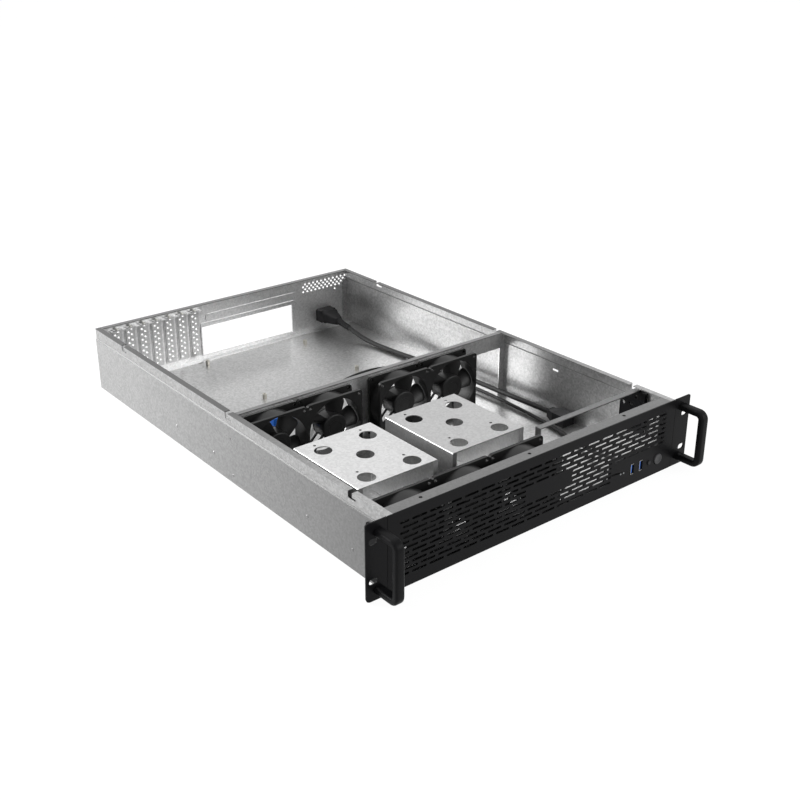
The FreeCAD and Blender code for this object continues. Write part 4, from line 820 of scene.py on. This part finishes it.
heads("cover_screw_heads", "slot_cover_screws", PAN_HEAD, 2, lambda middle: 1)
heads("cage_screw_heads", "cage_screws", PAN_HEAD, 2, lambda middle: 1)
heads("handle_screw_heads", "handle_screws", PAN_HEAD, 1, lambda middle: 1)
heads("inlet_screw_heads", "inlet_screws", PAN_HEAD, 1, lambda middle: 1)
heads("fan_screw_heads", "fan_screws", PAN_HEAD, 1, lambda middle: 1 if middle[1] > 100 else -1)
heads("wall_rivet_heads", "side_rivets", RIVET_HEAD, 0, lambda middle: 1 if middle[0] > 0 else -1)
heads("power_key", "power_button", BUTTON, 1, lambda middle: -1, "power_button_body", 40)
heads("reset_key", "reset_button", BUTTON, 1, lambda middle: -1, "reset_button_body", 28)
heads("lamp_lenses", "led_lenses", LENS, 1, lambda middle: -1)
print("heads, buttons and lamps made")

# %% [markdown]
# The seven covers close the card openings. Each is a strip of thin sheet with a zigzag of round air
# holes and a tab that is folded over the shelf and screwed down.

# %% Card covers
COVER_PITCH = 20.32
COVER_X = [-62.8 - COVER_PITCH * k for k in range(7)]


def card_cover(x):
    """Strip with a pressed-out field, sixteen round holes in a zigzag, and its tab."""
    holes = [circle(x + (-2.4 if k % 2 == 0 else 2.4), 14.4 + 4.1 * k, 1.6, 18) for k in range(16)]
    shape = Shape().add(plate(soft_box(x - 8.3, 9.0, x + 8.3, 80.8, 0.6, 3), holes, 648.2, 649.0))
    shape.add(plate(soft_box(x - 6.2, 11.0, x + 6.2, 78.6, 1.2, 4), holes, 647.3, 648.19))
    tab = soft_box(x - 6.5, 640.5, x + 6.5, 648.6, 1.5, 5)
    return shape.add(plate(tab, [], 80.0, 80.8, "xy"))


for number, x in enumerate(COVER_X, 1):
    card_cover(x).finish(f"card_cover_{number}", f"slot_cover_{number}")
print("seven covers made")

# %% [markdown]
# The rear wall is punched for the cards, the board's ports, the inlet and a field of air holes. A
# pressed rim runs round the port opening, with a long raised field over it. The covers' tabs are
# screwed to a small shelf, which is cut like a comb so that the covers can slide in.

# %% Rear wall
PORT_LEFT, PORT_RIGHT, PORT_LOW, PORT_TOP = -50.8, 107.95, 6.9, 51.35
INLET_HOLE = (154.2, 13.0, 182.8, 33.0)
VENT_X, VENT_Z, VENT_PITCH, VENT_ROW = 131.0, 66.3, 7.6, 3.95
WALL_IN, WALL_OUT = 649.0, 650.0
JOIN_Y = WALL_IN + 0.01


def rear_wall():
    """Punched wall, the rim and raised field pressed in it, its two folds and the card shelf."""
    outline = [(-215, 0), (215, 0), (215, 72.5), (214, 74.5),
               (214, 88), (-214, 88), (-214, 74.5), (-215, 72.5)]
    port = soft_box(PORT_LEFT, PORT_LOW, PORT_RIGHT, PORT_TOP, 0.8, 4)
    holes = [soft_box(x - 6.25, 12.0, x + 6.25, 76.0, 1.2, 4) for x in COVER_X]
    holes += [circle(VENT_X + VENT_PITCH * (row % 2 / 2 + k), VENT_Z + VENT_ROW * row, 1.7, 16)
              for row in range(4) for k in range(11)]
    holes += [soft_box(*INLET_HOLE, 1.8, 4), circle(191.0, 60.0, 1.5, 16), port]
    shape = Shape().add(plate(outline, holes, WALL_IN, WALL_OUT))
    rim = soft_box(PORT_LEFT - 2.0, PORT_LOW - 2.0, PORT_RIGHT + 6.0, PORT_TOP + 6.0, 3.0)
    shape.add(plate(rim, [port], WALL_IN - 1.5, JOIN_Y))
    raised = soft_box(PORT_LEFT + 7.8, 58.5, PORT_RIGHT + 7.0, 70.0, 4.0)
    shape.add(plate(raised, [], WALL_IN - 1.0, JOIN_Y))
    foot = [(-214.0, 637.0), (214.0, 637.0), (214.0, JOIN_Y), (-214.0, JOIN_Y)]
    flange = [(-206.7, 642.0), (206.7, 642.0), (206.7, JOIN_Y), (-206.7, JOIN_Y)]
    shape.add(plate(foot, [], 1.0, 2.0, "xy")).add(plate(flange, [], 87.0, 88.0, "xy"))
    ends = COVER_X[-1] - COVER_PITCH / 2, COVER_X[0] + COVER_PITCH / 2
    comb = [(ends[0], 640.8), (ends[1], 640.8), (ends[1], JOIN_Y)]
    for x in COVER_X:
        comb += [(x + 8.6, JOIN_Y), (x + 8.6, 647.9), (x - 8.6, 647.9), (x - 8.6, JOIN_Y)]
    comb.append((ends[0], JOIN_Y))
    return shape.add(plate(comb, [], 79.0, 80.0, "xy"))


rear_wall().finish("rear_wall", "rear_panel", bevel=0.1)
print("rear wall made")

# %% [markdown]
# A drive cage is one sheet folded into an upside-down U. Its top has five round windows and four
# screw holes, and its front edges are folded inward.

# %% Drive cages
def drive_cage(middle):
    """Top plate with round windows, two folded sides with feet, and front lips."""
    half, top, front, rear = 52.7, 86.0, 63.0, 179.0
    hole_rows = (rear - 9.0, rear - 9.0 - 76.6)
    holes = [circle(middle + a, y, 1.75, 14) for y in hole_rows for a in (-30.86, 30.86)]
    holes += [circle(middle + a, y - 15.0, 10.0, 40) for y in hole_rows for a in (-30.1, 30.1)]
    holes.append(circle(middle, front + 57.0, 10.0, 40))
    edge = half - 1.5
    outline = [(middle - edge, front), (middle + edge, front),
               (middle + edge, rear), (middle - edge, rear)]
    shape = Shape().add(plate(outline, holes, top - 1.0, top, "xy"))
    bend = np.linspace(np.pi / 2, 0.0, 6)
    for side in (-1, 1):
        outer = np.stack([edge + 1.5 * np.cos(bend), top - 1.5 + 1.5 * np.sin(bend)], axis=1)
        inner = np.stack([edge + 0.5 * np.cos(bend), top - 1.5 + 0.5 * np.sin(bend)], axis=1)[::-1]
        foot = np.array([(half, 2.0), (half + 8.0, 2.0), (half + 8.0, 1.0), (half - 1.0, 1.0)])
        section = np.concatenate([[(edge - 0.02, top)], outer, foot, inner, [(edge - 0.02, top - 1.0)]])
        shape.add(plate(section * (side, 1) + (middle, 0), [], front, rear))
        low, high = sorted((middle + side * (half - 0.98), middle + side * (half - 6.0)))
        lip = [(low, 2.0), (high, 2.0), (high, top - 1.02), (low, top - 1.02)]
        shape.add(plate(lip, [], front + 0.01, front + 1.0))
    return shape


drive_cage(-150.0).finish("left_cage", "drive_cage_left")
drive_cage(-24.0).finish("right_cage", "drive_cage_right")
print("two cages made")

# %% [markdown]
# The supply lead's inlet is moulded in one with its cord: a flange outside, a block through the
# wall, a body that narrows to the neck, and a ribbed sleeve that keeps the cord from kinking. The
# body is a skin over soft-cornered rings, and the sleeve follows the first of the cord's own line.

# %% Power inlet
INLET_X, INLET_Z = 168.5, 23.0
NECK_X, NECK_Z, NECK_Y = 171.0, 20.0, 611.0


def soft_rings(y, x, z, half_wide, half_high):
    """Rings across Y: x + w cos and z + h sin, each raised to 2 / 5 with its sign kept."""
    angle = 2 * np.pi * np.arange(36) / 36
    cosine, sine = np.cos(angle), np.sin(angle)
    flat = np.sign(cosine) * np.abs(cosine) ** (2 / 5)
    tall = np.sign(sine) * np.abs(sine) ** (2 / 5)
    rings = np.broadcast_arrays(
        x[:, None] + half_wide[:, None] * flat, y[:, None], z[:, None] + half_high[:, None] * tall)
    return np.stack(rings, axis=-1)


def start_of_line(route, span):
    """Points of a cord's smooth line, in millimetres, up to a distance from its start."""
    curve = cord_curve("probe", np.array(route), 24)
    points = line_points(curve)
    bpy.data.curves.remove(curve)
    far = distance_along(points)
    steps = np.linspace(0.0, span, 57)
    return np.stack([np.interp(steps, far, points[:, k]) for k in range(3)], axis=1)


def ribbed_sleeve(points, start, end):
    """Round sleeve along a line: its radius falls evenly, and dips between seven ribs."""
    share = np.linspace(0.0, 1.0, len(points))
    radius = start + (end - start) * share - 0.6 * ((share * 7) % 1.0 > 0.62)
    along = np.gradient(points, axis=0)
    along /= np.linalg.norm(along, axis=1)[:, None]
    side = np.cross(along, (0.0, 0.0, 1.0))
    side /= np.linalg.norm(side, axis=1)[:, None]
    up = np.cross(side, along)
    angle = 2 * np.pi * np.arange(28) / 28
    cosine, sine = np.cos(angle)[None, :, None], np.sin(angle)[None, :, None]
    around = side[:, None, :] * cosine + up[:, None, :] * sine
    return loft(points[:, None, :] + radius[:, None, None] * around)


def moulded_inlet():
    """Flange and block with the socket's hollow, a narrowing body and the sleeve."""
    hollow = soft_box(INLET_X - 12, INLET_Z - 8, INLET_X + 12, INLET_Z + 8, 2.5, 4)
    flange = soft_box(INLET_X - 25, INLET_Z - 12, INLET_X + 25, INLET_Z + 12, 3.0, 5)
    block = soft_box(INLET_X - 14.1, INLET_Z - 9.8, INLET_X + 14.1, INLET_Z + 9.8, 1.8, 5)
    shape = Shape().add(plate(flange, [hollow], WALL_OUT, 652.5))
    shape.add(plate(block, [hollow], 636.5, WALL_OUT - 0.01))
    y = np.array([636.48, 631.0, 629.5, 628.5, 622.0, 616.0, 612.5, NECK_Y - 0.5])
    share = (y[0] - y) / (y[0] - NECK_Y)
    wide = np.array([14.1, 14.1, 13.6, 12.2, 10.2, 8.0, 6.6, 5.4])
    high = np.array([9.8, 9.8, 9.4, 8.6, 7.6, 6.6, 6.0, 5.4])
    slide = np.clip((share - 0.2) / 0.8, 0.0, 1.0)
    x = INLET_X + (NECK_X - INLET_X) * slide
    z = INLET_Z + (NECK_Z - INLET_Z) * slide
    shape.add(loft(soft_rings(y, x, z, wide, high)))
    return shape.add(ribbed_sleeve(start_of_line(POWER_ROUTE, 26.0), 5.2, 4.1))


moulded_inlet().finish("moulded_inlet", "power_inlet", sharp=45.0)
print("inlet made")

# %% [markdown]
# The photograph has a plain white ground. A large pale floor catches the case's soft shadow, and
# what the camera and the metal see beyond it is white. Of three broad lamps the strongest stands
# behind the case on its left, so the floor inside shines and the front stays dark.

# %% Floor, world and lamps
WHITE = (1.0, 1.0, 1.0)
WHITE_RAYS = ("Is Camera Ray", "Is Glossy Ray", "Is Transmission Ray")
FLOOR_HALF, FLOOR_Z = 9.0, -0.0005
PAPER_LIGHT = 1.1


def white_blend(tree):
    """Mix Shader whose second shader is for the rays that should see white."""
    rays = tree.nodes.new("ShaderNodeLightPath")
    share = rays.outputs[WHITE_RAYS[0]]
    for kind in WHITE_RAYS[1:]:
        either = tree.nodes.new("ShaderNodeMath")
        either.operation = "MAXIMUM"
        tree.links.new(share, either.inputs[0])
        tree.links.new(rays.outputs[kind], either.inputs[1])
        share = either.outputs[0]
    blend = tree.nodes.new("ShaderNodeMixShader")
    tree.links.new(share, blend.inputs[0])
    return blend


def make_floor(glow):
    """Flat floor just under the case: paper that also glows white where the camera looks at it."""
    mesh = bpy.data.meshes.new("floor")
    corners = [(-1, -1), (1, -1), (1, 1), (-1, 1)]
    mesh.from_pydata([(x * FLOOR_HALF, y * FLOOR_HALF, FLOOR_Z) for x, y in corners], [], [(0, 1, 2, 3)])
    floor = bpy.data.objects.new("floor", mesh)
    bpy.context.collection.objects.link(floor)
    finish = Finish("floor")
    finish.give(Base_Color=(0.93, 0.93, 0.93), Roughness=0.9)
    matt = Signal(finish, finish.shader.outputs[0])
    light = finish.node("ShaderNodeEmission", None, {"Color": WHITE, "Strength": PAPER_LIGHT})
    paper = finish.node("ShaderNodeMixShader", None, {0: glow, 1: matt, 2: light})
    tree = finish.tree
    blend = white_blend(tree)
    tree.links.new(matt.socket, blend.inputs[1])
    tree.links.new(paper.socket, blend.inputs[2])
    tree.links.new(blend.outputs[0], tree.nodes["Material Output"].inputs["Surface"])
    mesh.materials.append(finish.material)


def make_world(strength):
    """Even light from all round, plain white where the camera and the metal look at it."""
    world = bpy.data.worlds.new("studio")
    world.use_nodes = True
    bpy.context.scene.world = world
    tree = world.node_tree
    ground = tree.nodes["Background"]
    white = tree.nodes.new("ShaderNodeBackground")
    for node, value in ((ground, strength), (white, 1.0)):
        node.inputs["Color"].default_value = (*WHITE, 1.0)
        node.inputs["Strength"].default_value = value
    blend = white_blend(tree)
    tree.links.new(ground.outputs[0], blend.inputs[1])
    tree.links.new(white.outputs[0], blend.inputs[2])
    tree.links.new(blend.outputs[0], tree.nodes["World Output"].inputs["Surface"])


def make_lamp(name, place, aim, size, power):
    """Oblong area lamp at a place, turned to face a point."""
    light = bpy.data.lights.new(name, "AREA")
    light.shape = "RECTANGLE"
    light.size, light.size_y = size
    light.energy = power
    lamp = bpy.data.objects.new(name, light)
    lamp.location = place
    lamp.rotation_euler = (Vector(aim) - Vector(place)).to_track_quat("-Z", "Y").to_euler()
    bpy.context.collection.objects.link(lamp)


make_floor(0.85)
make_world(0.45)
make_lamp("rear_left_lamp", (-1.2, 1.45, 0.75), (0.0, 0.1, 0.03), (1.1, 1.1), 38.0)
make_lamp("front_right_lamp", (1.1, -1.9, 0.9), (0.0, 0.2, 0.03), (1.2, 0.8), 14.0)
make_lamp("ceiling_lamp", (0.0, 0.4, 2.2), (0.0, 0.0, 0.0), (1.8, 1.8), 10.0)
bpy.context.scene.view_settings.view_transform = "Standard"
